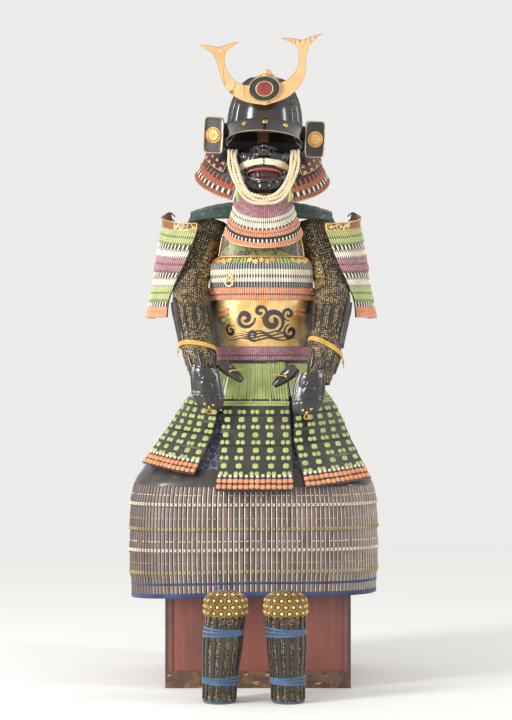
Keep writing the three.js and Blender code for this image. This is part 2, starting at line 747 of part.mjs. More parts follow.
// Below the dome a band drops at the sides and back, and stops short of the brow.
const bowlTop = (1 - BOWL.crownHole ** BOWL.power) ** (1 / BOWL.power);
const DOME_SHARE = 0.84; // the part of v the dome takes
function bowlBase(u, v) {
  const angle = u * 2 * Math.PI;
  if (v <= DOME_SHARE) {
    return bowlPoint(angle, bowlTop * Math.cos(((v / DOME_SHARE) * Math.PI) / 2));
  }
  const fromBrow = Math.min(angle, 2 * Math.PI - angle);
  const drop = THREE.MathUtils.smoothstep(fromBrow, rad(40), rad(78)) * BOWL.band + 2;
  const rim = bowlPoint(angle, 0);
  return rim.setZ((-drop * (v - DOME_SHARE)) / (1 - DOME_SHARE));
}

add(
  "helmet_bowl",
  shell({
    base: bowlBase,
    columns: 20,
    rows: [0, 0.16, 0.32, 0.48, 0.66, DOME_SHARE, 1],
    thick: BOWL.thick,
    closed: true,
  }),
  BLACK_LACQUER,
  helmet,
);

// The ring at the crown's hole, with a flange on the bowl and a raised neck.
const crownRing = new THREE.LatheGeometry(
  [
    [7, 0],
    [19, -2],
    [19, 0],
    [12, 2],
    [11, 9],
    [7, 9],
    [7, 0],
  ].map(([r, z]) => new THREE.Vector2(r, z)),
  14,
);
crownRing.rotateX(Math.PI / 2).translate(0, 0, BOWL.height + BOWL.thick + 2);
add("crown_fitting", crownRing, GOLD, helmet);

// The visor's plate starts on the bowl and reaches forward and down to an arched edge.
const VISOR = { reach: 72, thick: 3, out: 38 };
const VISOR_HEIGHT = { top: 34, topSide: 10, edge: 2, edgeSide: -44 };

function visor() {
  const base = (u, v) => {
    const side = 2 * u - 1;
    const angle = rad(side * VISOR.reach);
    const top = mix(VISOR_HEIGHT.top, VISOR_HEIGHT.topSide, side * side);
    const edge = mix(VISOR_HEIGHT.edge, VISOR_HEIGHT.edgeSide, side * side);
    const onBowl = bowlPoint(angle, top / BOWL.height);
    const out = vector(onBowl.x, onBowl.y, 0).normalize();
    const forward = VISOR.out * (1 - side * side) * v ** 1.3;
    const flush = bowlPoint(angle, 0).length() - vector(onBowl.x, onBowl.y, 0).length();
    return onBowl
      .addScaledVector(out, BOWL.thick + 2 * GAP + forward + flush * Math.min(1, 2 * v))
      .setZ(mix(top, edge, v));
  };
  return shell({ base, columns: 14, rows: [0, 0.25, 0.5, 0.75, 1], thick: VISOR.thick });
}

add("visor", visor(), BLACK_LACQUER, helmet);

// Neck guard lames: arcs from one front end round the back to the other, each below the last.
const NECK_GUARD = [
  { top: 12, bottom: -30, topHalf: 100, bottomHalf: 124, ends: 98, dip: 0 },
  { top: -26, bottom: -74, topHalf: 116, bottomHalf: 148, ends: 138, dip: 50 },
  { top: -70, bottom: -128, topHalf: 139, bottomHalf: 173, ends: 154, dip: 56 },
];
const NECK = { back: 10, front: 0.74, thick: 3.5, y: 6 };

function neckLame({ top, bottom, topHalf, bottomHalf, ends, dip }) {
  const base = (u, v) => {
    const angle = rad(180 + mix(-ends, ends, u));
    const half = mix(topHalf, bottomHalf, v ** 0.9);
    const forward = Math.cos(angle);
    const depth = forward < 0 ? half + NECK.back : half * NECK.front;
    return vector(
      half * Math.sin(angle),
      NECK.y - depth * forward,
      mix(top, bottom, v) - dip * Math.max(0, forward),
    );
  };
  return shell({ base, columns: 18, rows: [0, 0.5, 1], thick: NECK.thick });
}

NECK_GUARD.forEach((lame, i) =>
  add(`neck_guard_${i + 1}`, neckLame(lame), i < 2 ? BLACK_LACQUER : ORANGE_LACE, helmet),
);

// The turned-back ends of the neck guard beside the brow, which face forward.
const TURN_BACK = { width: 54, height: 94, corner: 13, thick: 4, x: 129, y: -60, z: -16, turn: 20 };

function turnBack() {
  const { width: w, height: h, corner: r } = TURN_BACK;
  const outline = new THREE.Shape();
  outline.moveTo(-w / 2, -h / 2);
  outline.lineTo(w / 2 - r, -h / 2);
  outline.absarc(w / 2 - r, -h / 2 + r, r, -Math.PI / 2, 0, false);
  outline.lineTo(w / 2, h / 2 - r);
  outline.absarc(w / 2 - r, h / 2 - r, r, 0, Math.PI / 2, false);
  outline.lineTo(-w / 2, h / 2 - 8);
  const plate = new THREE.ExtrudeGeometry(outline, {
    depth: TURN_BACK.thick,
    bevelEnabled: false,
    curveSegments: 4,
  });
  return plate.rotateX(Math.PI / 2);
}

for (const [name, side] of [["left", -1], ["right", 1]]) {
  const mesh = add(`turn_back_${name}`, turnBack(), BLACK_LACQUER, helmet);
  mesh.position.set(side * TURN_BACK.x, TURN_BACK.y, TURN_BACK.z);
  mesh.rotation.set(0, 0, rad(side * TURN_BACK.turn));
  if (side < 0) mesh.geometry = mirrored(mesh.geometry);
}

// A copy of a geometry mirrored in x, with its faces turned round to point outwards again.
function mirrored(geometry) {
  const copy = mergeVertices(geometry.deleteAttribute("normal").deleteAttribute("uv"), 1e-4);
  copy.scale(-1, 1, 1);
  const flipped = [...copy.index.array];
  for (let i = 0; i < flipped.length; i += 3) {
    [flipped[i + 1], flipped[i + 2]] = [flipped[i + 2], flipped[i + 1]];
  }
  return copy.setIndex(flipped);
}

// ---------------------------------------------------------------- crest

// The crest's frame: its foot at the middle of the lower edge, up along the prong it slides on.
const CREST = { y: -132, z: 68, lean: 4, roll: -7.5, thick: 4 };
const crest = new THREE.Group();
crest.position.set(0, CREST.y, CREST.z);
crest.rotation.set(rad(CREST.lean), rad(CREST.roll), 0);
helmet.add(crest);

// Half of the horns' outline, from the foot up the outer edge, over the forked tip and back down
// the inner edge.
const HORN_OUTER = [
  [0, 0],
  [53, 14],
  [88, 40],
  [105, 72],
  [111, 110],
  [123, 141],
  [154, 165],
];
const HORN_NOTCH = [
  [128, 160],
  [104, 154],
  [80, 160],
  [54, 163],
];
const HORN_EYE = { x: 103, z: 145, wide: 4.5, tall: 3 };
const HORN_INNER = [
  [88, 143],
  [94, 114],
  [87, 86],
  [71, 66],
  [50, 55],
  [0, 46],
];

function horns() {
  const points = (list, side) => list.map(([x, z]) => new THREE.Vector2(side * x, z));
  const outline = new THREE.Shape();
  outline.moveTo(0, 0);
  outline.splineThru(points(HORN_OUTER.slice(1), 1));
  outline.splineThru(points(HORN_NOTCH, 1));
  outline.splineThru(points(HORN_INNER, 1));
  outline.splineThru(points(HORN_INNER.slice(0, -1).reverse(), -1));
  outline.splineThru(points([...HORN_NOTCH].reverse(), -1));
  outline.splineThru(points([...HORN_OUTER].reverse(), -1));
  for (const side of [-1, 1]) {
    const eye = new THREE.Path();
    eye.absellipse(side * HORN_EYE.x, HORN_EYE.z, HORN_EYE.wide, HORN_EYE.tall, 0, 2 * Math.PI);
    outline.holes.push(eye);
  }
  const plate = new THREE.ExtrudeGeometry(outline, {
    depth: CREST.thick,
    bevelEnabled: false,
    curveSegments: 3,
  });
  return solidOf(plate.rotateX(Math.PI / 2));
}

// A block on the back of the horns, with a slot up through it for the prong.
const SOCKET = { width: 26, depth: 9, bottom: 6, top: 32 };
const PRONG = { width: 14, thick: 3, y: 4.5, root: 0, top: 24, foot: 27.5 };

function crestHorns() {
  const { width, depth, bottom, top } = SOCKET;
  const block = solidOf(boxAt(width, depth + 1, top - bottom, 0, depth / 2 - 0.5, bottom));
  const slotTop = PRONG.top + GAP;
  const slot = solidOf(
    boxAt(PRONG.width + 2 * GAP, PRONG.thick + 2 * GAP, slotTop, 0, PRONG.y, 0),
  );
  return geometryFrom(horns().add(block.subtract(slot)));
}

add("crest_horns", crestHorns(), GOLD, crest);

const CREST_DISC = { halfWidth: 41, halfHeight: 33, thick: 6, z: 42 };
add(
  "crest_disc",
  new THREE.CylinderGeometry(1, 1, CREST_DISC.thick, 24)
    .scale(CREST_DISC.halfWidth, 1, CREST_DISC.halfHeight)
    .translate(0, -CREST.thick - CREST_DISC.thick / 2 - GAP, CREST_DISC.z),
  BLACK_LACQUER,
  crest,
);

// The prong rises from a bracket on the front of the bowl.
function prong() {
  const { width, thick, y, root, foot, top } = PRONG;
  const blade = boxAt(width, thick, top - root, 0, y, root);
  const bracket = boxAt(width, foot, thick, 0, y - thick / 2 + foot / 2, root);
  return geometryFrom(solidOf(blade).add(solidOf(bracket)));
}

add("crest_prong", prong(), GOLD, crest);

// ---------------------------------------------------------------- face mask and throat guard

// Sections of the mask's inner face, from under the eyes to the chin.
const MASK_SECTIONS = [
  { z: 1394, half: 70, front: -86, back: -22 },
  { z: 1366, half: 72, front: -92, back: -24 },
  { z: 1338, half: 71, front: -94, back: -28 },
  { z: 1310, half: 66, front: -95, back: -34 },
  { z: 1284, half: 56, front: -97, back: -42 },
  { z: 1262, half: 44, front: -100, back: -52 },
  { z: 1246, half: 30, front: -92, back: -58 },
];
const MASK = { x: 15, bottom: 1246, thick: 3 };
const MASK_EDGE = [
  { side: 0, z: 1374 },
  { side: 0.15, z: 1371 },
  { side: 0.28, z: 1359 },
  { side: 0.6, z: 1350 },
  { side: 1, z: 1360 },
];
const NOSE = { top: 1398, tip: 1352, base: 1338, half: 17, out: 26 };
const MOUTH = { top: 1306, bottom: 1281, half: 41 };

const bump = (t) => (Math.abs(t) < 1 ? Math.cos((t * Math.PI) / 2) ** 2 : 0);

function maskPoint(side, z) {
  const value = (name) => column(MASK_SECTIONS, "z", name, z);
  const angle = side * rad(90);
  const x = value("half") * Math.sin(angle);
  const depth = value("back") - value("front");
  const nose =
    z > NOSE.tip
      ? NOSE.out * Math.max(0, (NOSE.top - z) / (NOSE.top - NOSE.tip))
      : NOSE.out * Math.max(0, (z - NOSE.base) / (NOSE.tip - NOSE.base));
  const chin = 10 * bump(x / 34) * bump((z - 1268) / 24);
  const out = nose * bump(x / NOSE.half) + chin;
  return vector(MASK.x + x, value("back") - depth * Math.cos(angle) ** 0.8 - out, z);
}

function faceMask() {
  const face = solidOf(
    shell({
      base: (u, v) => {
        const side = 2 * u - 1;
        const top = column(MASK_EDGE, "side", "z", Math.abs(side));
        return maskPoint(side, mix(top, MASK.bottom, v));
      },
      columns: 14,
      rows: evenly(8),
      thick: MASK.thick,
    }),
  );
  const opening = new THREE.Shape();
  opening.absellipse(0, 0, MOUTH.half, (MOUTH.top - MOUTH.bottom) / 2, 0, 2 * Math.PI, false);
  const cut = new THREE.ExtrudeGeometry(opening, {
    depth: 90,
    bevelEnabled: false,
    curveSegments: 8,
  });
  cut.rotateX(Math.PI / 2).translate(MASK.x, -50, (MOUTH.top + MOUTH.bottom) / 2);
  return geometryFrom(face.subtract(solidOf(cut)));
}

add("face_mask", faceMask(), BLACK_LACQUER);

// A piece that lies on the mask: a curved strip whose middle line and height come from a table.
function onMask(table, lift, thick, columns) {
  const end = table[table.length - 1].side;
  const base = (u, v) => {
    const side = mix(-end, end, u);
    const middle = column(table, "side", "z", Math.abs(side));
    const half = column(table, "side", "half", Math.abs(side));
    const z = middle + mix(half, -half, v);
    const p = maskPoint(side, z);
    return p.setY(Math.min(p.y, maskPoint(side, middle).y) - MASK.thick - lift);
  };
  return shell({ base, columns, rows: [0, 0.5, 1], thick });
}

const MOUSTACHE = [
  { side: 0, z: 1325, half: 4 },
  { side: 0.15, z: 1327, half: 8 },
  { side: 0.45, z: 1321, half: 9 },
  { side: 0.76, z: 1310, half: 3 },
];
const LIP = [
  { side: 0, z: 1274.5, half: 3 },
  { side: 0.25, z: 1275.5, half: 3 },
  { side: 0.42, z: 1279, half: 1.5 },
];
add("moustache", onMask(MOUSTACHE, 5.2, 5, 12), WHITE_LACE);
add("lower_lip", onMask(LIP, 1.5, 3, 6), RED_LACQUER);

// Throat guard lames: each hangs lower at the front than at its ends.
const THROAT_GUARD = [
  { top: 1236, bottom: 1181, topHalf: 60, bottomHalf: 74, colour: PURPLE_LACE },
  { top: 1180.4, bottom: 1153, topHalf: 75, bottomHalf: 82, colour: WHITE_LACE },
  { top: 1152.4, bottom: 1130, topHalf: 83, bottomHalf: 92, colour: ORANGE_LACE },
  { top: 1129.4, bottom: 1103, topHalf: 93, bottomHalf: 99, colour: ORANGE_LACE },
];
const THROAT = { x: 14, y: -58, thick: 3, ends: 80, lift: 38, depth: 0.78 };

function throatLame({ top, bottom, topHalf, bottomHalf }) {
  const base = (u, v) => {
    const side = 2 * u - 1;
    const angle = side * rad(THROAT.ends);
    const half = mix(topHalf, bottomHalf, v);
    return vector(
      THROAT.x + half * Math.sin(angle),
      THROAT.y - THROAT.depth * half * Math.cos(angle),
      mix(top, bottom, v) + THROAT.lift * side * side,
    );
  };
  return shell({ base, columns: 12, rows: [0, 1], thick: THROAT.thick });
}

THROAT_GUARD.forEach((lame, i) =>
  add(`throat_guard_${i + 1}`, throatLame(lame), lame.colour),
);

// The helmet's cord comes down inside the turn-backs and passes under the chin. Its strands lie
// side by side, so the bundle is wider than it is thick.
const CORD = { half: 12, thick: 4.5, sides: 10 };
const CORD_PATH = [
  [-80, -60, 1358],
  [-81, -80, 1346],
  [-80, -93, 1330],
  [-75, -104, 1302],
  [-62, -116, 1266],
  [-42, -127, 1238],
  [-20, -134, 1227],
  [0, -136, 1224],
];

// A solid run through a row of rings of points, with a flat cap at either end.
function loft(rings) {
  const count = rings[0].length;
  const index = [];
  for (let r = 0; r < rings.length - 1; r++) {
    for (let c = 0; c < count; c++) {
      const [a, b] = [r * count + c, r * count + ((c + 1) % count)];
      index.push(a, b + count, b, a, a + count, b + count);
    }
  }
  const last = (rings.length - 1) * count;
  for (let c = 1; c < count - 1; c++) {
    index.push(0, c, c + 1, last, last + c + 1, last + c);
  }
  return geometryOf(rings.flat(), index);
}

function chinCord() {
  const left = CORD_PATH.map(([x, y, z]) => vector(MASK.x + x, y, z));
  const right = CORD_PATH.slice(0, -1)
    .reverse()
    .map(([x, y, z]) => vector(MASK.x - x, y, z));
  const curve = new THREE.CatmullRomCurve3([...left, ...right]);
  const rings = evenly(28).map((t) => {
    const p = curve.getPoint(t);
    const along = curve.getTangent(t);
    const out = vector((p.x - MASK.x) / 200, -1, 0);
    const across = along.clone().cross(out).normalize();
    const face = across.clone().cross(along).normalize();
    return evenly(CORD.sides)
      .slice(1)
      .map((share) =>
        p
          .clone()
          .addScaledVector(across, CORD.half * Math.cos(share * 2 * Math.PI))
          .addScaledVector(face, CORD.thick * Math.sin(share * 2 * Math.PI)),
      );
  });
  return loft(rings);
}

add("chin_cord", chinCord(), WHITE_LACE);

// ---------------------------------------------------------------- shin guards

// Each stands on the floor as a splinted tube, open behind. x and y are the shin's centre.
const SHIN_SECTIONS = [
  { z: 0, half: 35, depth: 38, lean: 0 },
  { z: 60, half: 37, depth: 41, lean: 0.15 },
  { z: 150, half: 43, depth: 48, lean: 0.6 },
  { z: 214, half: 42, depth: 47, lean: 1 },
];
const SHINS = [
  { name: "left", x: -93, lean: 15 },
  { name: "right", x: 72, lean: -6 },
];
const SHIN = { y: -392, top: 214, thick: 3, open: 56 };
const KNEE = { bottom: 208, top: 271, thick: 4, out: 2, leanBack: 12 };
const KNEE_OUTLINE = [
  { share: 0, reach: 16 },
  { share: 0.12, reach: 48 },
  { share: 0.35, reach: 78 },
  { share: 0.7, reach: 96 },
  { share: 1, reach: 98 },
];

function shinPoint(shin, angle, z, grow = 0) {
  const value = (name) => column(SHIN_SECTIONS, "z", name, z);
  return vector(
    shin.x + shin.lean * value("lean") + (value("half") + grow) * Math.sin(angle),
    SHIN.y - (value("depth") + grow) * Math.cos(angle),
    z,
  );
}

function shinGuard(shin) {
  const reach = 180 - SHIN.open;
  return shell({
    base: (u, v) => shinPoint(shin, rad(mix(-reach, reach, u)), mix(SHIN.top, 0, v)),
    columns: 14,
    rows: sharesOf([SHIN.top, 150, 60, 0]),
    thick: SHIN.thick,
  });
}

// The padded knee plate stands in front of the shin's top edge and rises to a rounded crown.
function kneeGuard(shin) {
  const base = (u, v) => {
    const z = mix(KNEE.top, KNEE.bottom, v);
    const reach = rad(column(KNEE_OUTLINE, "share", "reach", v));
    const back = KNEE.leanBack * (1 - v) ** 2;
    const p = shinPoint(shin, mix(-reach, reach, u), Math.min(z, SHIN.top), SHIN.thick + KNEE.out);
    return p.setZ(z).setY(p.y + back);
  };
  return shell({ base, columns: 10, rows: KNEE_OUTLINE.map((r) => r.share), thick: KNEE.thick });
}

for (const shin of SHINS) {
  add(`shin_guard_${shin.name}`, shinGuard(shin), MAIL);
  add(`knee_guard_${shin.name}`, kneeGuard(shin), HEXAGON_PADDING);
}

export default group;
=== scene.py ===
import math
from functools import cache

import bpy
import numpy as np
from mathutils import Matrix, Vector


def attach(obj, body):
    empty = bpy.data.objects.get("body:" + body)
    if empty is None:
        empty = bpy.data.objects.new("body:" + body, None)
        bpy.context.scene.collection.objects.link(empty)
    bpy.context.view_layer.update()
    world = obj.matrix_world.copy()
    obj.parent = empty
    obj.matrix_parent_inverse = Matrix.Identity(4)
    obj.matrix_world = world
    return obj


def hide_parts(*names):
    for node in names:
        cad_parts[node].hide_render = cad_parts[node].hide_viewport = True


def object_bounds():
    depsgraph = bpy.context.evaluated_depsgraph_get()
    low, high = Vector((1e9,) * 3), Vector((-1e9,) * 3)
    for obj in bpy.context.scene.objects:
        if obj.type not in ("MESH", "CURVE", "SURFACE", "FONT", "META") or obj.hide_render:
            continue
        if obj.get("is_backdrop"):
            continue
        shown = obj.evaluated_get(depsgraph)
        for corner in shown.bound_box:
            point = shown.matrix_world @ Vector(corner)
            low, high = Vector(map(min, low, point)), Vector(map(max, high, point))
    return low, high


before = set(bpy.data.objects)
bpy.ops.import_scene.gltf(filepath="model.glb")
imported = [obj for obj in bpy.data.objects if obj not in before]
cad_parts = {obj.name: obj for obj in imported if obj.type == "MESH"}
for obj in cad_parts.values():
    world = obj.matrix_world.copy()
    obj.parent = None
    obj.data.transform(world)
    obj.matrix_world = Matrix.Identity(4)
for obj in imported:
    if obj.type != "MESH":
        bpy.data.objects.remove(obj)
CAD_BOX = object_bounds()
MM = 0.001
SIDES = (("left", -1), ("right", 1))
rng = np.random.default_rng(11)
scene = bpy.context.scene


# ---------------------------------------------------------------- numbers and curves


def smooth(rows):
    """Monotone cubic curves through a table whose first column is the key, one per other column."""
    table = np.array(sorted(rows), float)
    k, y = table[:, 0], table[:, 1:]
    h = np.diff(k)[:, None]
    d = np.diff(y, axis=0) / h
    m = np.vstack([d[:1], np.zeros((len(k) - 2, y.shape[1])), d[-1:]])
    for i in range(1, len(k) - 1):
        turning = d[i - 1] * d[i] <= 0
        total = np.where(turning, 1, d[i - 1] + d[i])
        m[i] = np.where(turning, 0, 2 * d[i - 1] * d[i] / total)

    def at(x):
        x = np.clip(np.asarray(x, float), k[0], k[-1])
        i = np.clip(np.searchsorted(k, x, side="right") - 1, 0, len(h) - 1)
        w, t = h[i, 0][..., None], ((x - k[i]) / h[i, 0])[..., None]
        a = y[i] * (1 + 2 * t) * (1 - t) ** 2 + w * m[i] * t * (1 - t) ** 2
        b = y[i + 1] * t * t * (3 - 2 * t) + w * m[i + 1] * t * t * (t - 1)
        return np.moveaxis(a + b, -1, 0)

    return at


def mix(a, b, t):
    return a + (b - a) * t


def xyz(x, y, z):
    return np.stack(np.broadcast_arrays(x, y, z), axis=-1).astype(float)


def unit(v):
    return v / np.maximum(np.linalg.norm(v, axis=-1, keepdims=True), 1e-9)


def smoothstep(x, low, high):
    t = np.clip((x - low) / (high - low), 0, 1)
    return t * t * (3 - 2 * t)


def sides_of(base, u, v, closed=False, step=0.002):
    """Unit vectors across (u grows), down (v grows) and out of a surface at u, v."""
    u, v = np.broadcast_arrays(np.asarray(u, float), np.asarray(v, float))
    low = u - step if closed else np.maximum(0, u - step)
    high = u + step if closed else np.minimum(1, u + step)
    across = unit(base(high, v) - base(low, v))
    down = unit(base(u, np.minimum(1, v + step)) - base(u, np.maximum(0, v - step)))
    return across, down, unit(np.cross(down, across))


def full_turn(steps):
    """Angles all the way round. The last is one step short of the first."""
    return np.arange(steps) / steps * 2 * np.pi


def evenly(count):
    """The middles of count equal parts of 0 to 1."""
    return (np.arange(count) + 0.5) / count


def peak(x, width):
    """A bell curve, 1 where x is 0."""
    return np.exp(-((x / width) ** 2))


def along(route):
    """The length of a line of points given in mm, in metres."""
    return float(np.linalg.norm(np.diff(route * MM, axis=0), axis=1).sum())


def lame_lift(breaks, proud):
    """How far each overlapping lame stands out: nothing at its top and proud at its lower edge."""
    breaks = np.array(breaks)

    def lift(v):
        i = np.clip(np.searchsorted(breaks, v, side="right") - 1, 0, len(breaks) - 2)
        return proud * (v - breaks[i]) / (breaks[i + 1] - breaks[i])

    return lift


def shares(heights):
    return [(heights[0] - z) / (heights[0] - heights[-1]) for z in heights]


def rows_with_breaks(count, breaks, edge=0.003):
    """Values of v from 0 to 1 with a close pair at each break, so that edges stay crisp."""
    rows = set(np.round(np.linspace(0, 1, count + 1), 5))
    for b in breaks[1:-1]:
        rows = {r for r in rows if abs(r - b) > 1.5 * edge}
        rows |= {round(b - edge, 5), round(b, 5)}
    return np.array(sorted(rows))


# ---------------------------------------------------------------- meshes


def mesh_object(name, verts, faces, look, slot=None, body="armour", replaces=(), uvs=None):
    """A smooth-shaded mesh object that rides on a body. Vertices are in metres."""
    mesh = bpy.data.meshes.new(name)
    mesh.from_pydata(np.asarray(verts).tolist(), [], [list(map(int, f)) for f in faces])
    if uvs is not None:
        layer = mesh.uv_layers.new(name="UVMap")
        layer.data.foreach_set("uv", np.asarray(uvs, np.float32).ravel())
    mesh.shade_smooth()
    mesh.set_sharp_from_angle(angle=math.radians(52))
    mesh.materials.append(look)
    made = bpy.data.objects.new(name, mesh)
    scene.collection.objects.link(made)
    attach(made, body)
    if replaces:
        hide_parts(*replaces)
    return made


def skin(name, base, cols, rows, thick, look, relief=None, closed=False, inside=None, **how):
    """A closed shell on the surface base(u, v), in mm: its inner face is the surface.

    inside is the look of that inner face, where it differs.
    """
    rows = np.asarray(rows, float) if np.ndim(rows) else np.linspace(0, 1, rows + 1)
    across = np.arange(cols if closed else cols + 1) / cols
    u, v = np.meshgrid(across, rows)
    out = sides_of(base, u, v, closed)[2]
    inner = base(u, v)
    height = thick + (relief(u, v) if relief else 0)
    outer = inner + out * np.broadcast_to(height, u.shape)[..., None]
    n_rows, n = u.shape
    ids = np.arange(n_rows * n).reshape(n_rows, n)
    spans = cols
    left, right = np.arange(spans), (np.arange(spans) + 1) % n

    def quads(a, b, c, d):
        return np.stack([a.ravel(), b.ravel(), c.ravel(), d.ravel()], axis=1)

    back = ids + n_rows * n
    faces = [
        quads(ids[:-1, left], ids[1:, left], ids[1:, right], ids[:-1, right]),
        quads(back[:-1, left], back[:-1, right], back[1:, right], back[1:, left]),
        quads(ids[0, left], ids[0, right], back[0, right], back[0, left]),
        quads(ids[-1, left], back[-1, left], back[-1, right], ids[-1, right]),
    ]
    ul, ur = left / cols, (left + 1) / cols
    top, low = rows[:-1, None], rows[1:, None]

    def corners(*pairs):
        flat = [np.broadcast_arrays(*p) for p in pairs]
        return np.stack([np.stack([a.ravel(), b.ravel()], axis=1) for a, b in flat], axis=1)

    uvs = [
        corners((ul, top), (ul, low), (ur, low), (ur, top)),
        corners((ul, top), (ur, top), (ur, low), (ul, low)),
        corners((ul, rows[0]), (ur, rows[0]), (ur, rows[0]), (ul, rows[0])),
        corners((ul, rows[-1]), (ul, rows[-1]), (ur, rows[-1]), (ur, rows[-1])),
    ]
    if not closed:
        faces.append(quads(ids[:-1, 0], back[:-1, 0], back[1:, 0], ids[1:, 0]))
        faces.append(quads(ids[:-1, -1], ids[1:, -1], back[1:, -1], back[:-1, -1]))
        for side in (0.0, 1.0):
            order = (rows[:-1], rows[:-1], rows[1:], rows[1:])
            if side:
                order = (rows[:-1], rows[1:], rows[1:], rows[:-1])
            uvs.append(corners(*[(np.full(len(r), side), r) for r in order]))
    verts = np.concatenate([outer.reshape(-1, 3), inner.reshape(-1, 3)]) * MM
    uvs = np.concatenate(uvs).reshape(-1, 2)
    made = mesh_object(name, verts, np.concatenate(faces), look, uvs=uvs, **how)
    if inside:
        made.data.materials.append(inside)
        for polygon in made.data.polygons[len(faces[0]) : 2 * len(faces[0])]:
            polygon.material_index = 1
    return made


def cover(node, base, cols, rows, thick, look, slot, relief=None, **how):
    """The skin that stands for one CAD node."""
    made = node + "_made"
    return skin(made, base, cols, rows, thick, look, relief, slot=slot, replaces=(node,), **how)


class Soup:
    """Many small closed shapes gathered into one mesh object. Shapes are in mm."""

    def __init__(self):
        self.verts, self.faces, self.count = [], [], 0

    def add(self, verts, faces):
        self.verts.append(np.asarray(verts, float).reshape(-1, 3))
        self.faces += [[i + self.count for i in face] for face in faces]
        self.count += len(self.verts[-1])

    def stamp(self, shape, origin, across, down, out, scale=1.0):
        """Copies of a shape (x across, y down, z out), one at each origin."""
        verts, faces = shape
        origin = np.atleast_2d(origin)
        axes = [np.broadcast_to(a, origin.shape) for a in (across, down, out)]
        size = np.broadcast_to(scale, (len(origin),))
        for p, a, d, o, s in zip(origin, *axes, size):
            self.add(p + s * (verts @ np.stack([a, d, o])), faces)

    def sweep(self, points, outs, half_width, half_thick=None, sides=8, closed=False):
        """A flat or round cord along points. outs says which way its broad face looks."""
        points = np.asarray(points, float)
        n = len(points)
        after, before = np.roll(points, -1, axis=0), np.roll(points, 1, axis=0)
        if not closed:
            after[-1], before[0] = points[-1], points[0]
        along = unit(after - before)
        outs = np.broadcast_to(outs, points.shape)
        across = unit(np.cross(along, outs))
        face = unit(np.cross(across, along))
        width = np.broadcast_to(half_width, (n,))[:, None, None]
        thick = width if half_thick is None else np.broadcast_to(half_thick, (n,))[:, None, None]
        turn = (np.arange(sides) / sides * 2 * np.pi)[None, :, None]
        ring = width * np.cos(turn) * across[:, None] + thick * np.sin(turn) * face[:, None]
        verts = (points[:, None] + ring).reshape(-1, 3)
        faces = []
        for r in range(n if closed else n - 1):
            low, high = r * sides, (r + 1) % n * sides
            for c in range(sides):
                d = (c + 1) % sides
                faces.append([low + c, high + c, high + d, low + d])
        if not closed:
            faces.append(list(range(sides)))
            faces.append([(n - 1) * sides + c for c in range(sides)][::-1])
        self.add(verts, faces)

    def put(self, shape, base, us, vs, lift, scale=1.0, closed=False):
        """Copies of a shape that stand on the surface base at us, vs, lifted by lift."""
        points, _ = along_edge(base, us, vs, lift, closed)
        self.stamp(shape, points, *sides_of(base, us, vs, closed), scale)

    def make(self, name, look, **how):
        return mesh_object(name, np.concatenate(self.verts) * MM, self.faces, look, **how)


def stack_faces(rings, sides):
    """The faces of a closed shape made of rings of vertices, one above the other."""
    faces = []
    for r in range(rings - 1):
        low, high = r * sides, (r + 1) * sides
        for i in range(sides):
            j = (i + 1) % sides
            faces.append([low + i, low + j, high + j, high + i])
    faces.append(list(range(sides))[::-1])
    faces.append([(rings - 1) * sides + i for i in range(sides)])
    return faces


def pillow(width, height, rise, power=3.2, sides=12, sink=0.6):
    """A small cushion: a rounded outline with a domed top and a flat underside.

    It is stamped with x across and y down, which is left-handed, so its faces are turned round.
    """
    turn = full_turn(sides) + np.pi / sides
    c, s = np.cos(turn), np.sin(turn)
    grow = (np.abs(c) ** power + np.abs(s) ** power) ** (-1 / power)
    rings = [(1.0, -sink), (1.0, rise * 0.45), (0.8, rise * 0.85), (0.4, rise)]
    verts = [
        [k * grow[i] * c[i] * width / 2, k * grow[i] * s[i] * height / 2, z]
        for k, z in rings
        for i in range(sides)
    ]
    return np.array(verts), [face[::-1] for face in stack_faces(len(rings), sides)]


def along_edge(base, us, vs, lift, closed=False):
    """Points over the surface, lifted by lift mm, and the way out at each."""
    us, vs = np.broadcast_arrays(np.asarray(us, float), np.asarray(vs, float))
    out = sides_of(base, us, vs, closed)[2]
    return base(us, vs) + out * np.broadcast_to(lift, us.shape)[..., None], out


def rim(soup, base, path, lift, radius, samples=40):
    """A rounded rim along a broken line of (u, v) corners on a surface."""
    path = np.array(path, float)
    t = np.linspace(0, len(path) - 1, samples)
    us = np.interp(t, np.arange(len(path)), path[:, 0])
    vs = np.interp(t, np.arange(len(path)), path[:, 1])
    points, outs = along_edge(base, us, vs, lift)
    soup.sweep(points, outs, radius, sides=8)


def twisted(soup, points, radius, strands=2, pitch=14.0, sides=6):
    """A laid cord of several strands round the same line."""
    points = np.asarray(points, float)
    steps = np.linalg.norm(np.diff(points, axis=0), axis=1)
    length = np.concatenate([[0], np.cumsum(steps)])
    fine = np.linspace(0, length[-1], max(12, int(length[-1] / pitch * 8)))
    line = np.stack([np.interp(fine, length, points[:, i]) for i in range(3)], axis=1)
    along = unit(np.gradient(line, axis=0))
    side = unit(np.cross(along, [0.21, 0.93, 0.31]))
    other = np.cross(along, side)
    for k in range(strands):
        turn = (fine / pitch + k / strands) * 2 * np.pi
        offset = np.cos(turn)[:, None] * side + np.sin(turn)[:, None] * other
        soup.sweep(line + offset * radius * 0.5, offset, radius * 0.56, sides=sides)


# ---------------------------------------------------------------- materials


def rgb(code):
    """Linear colour from a hexadecimal sRGB code."""
    parts = [int(code[i : i + 2], 16) / 255 for i in (0, 2, 4)]
    linear = [c / 12.92 if c <= 0.04045 else ((c + 0.055) / 1.055) ** 2.4 for c in parts]
    return (*linear, 1.0)


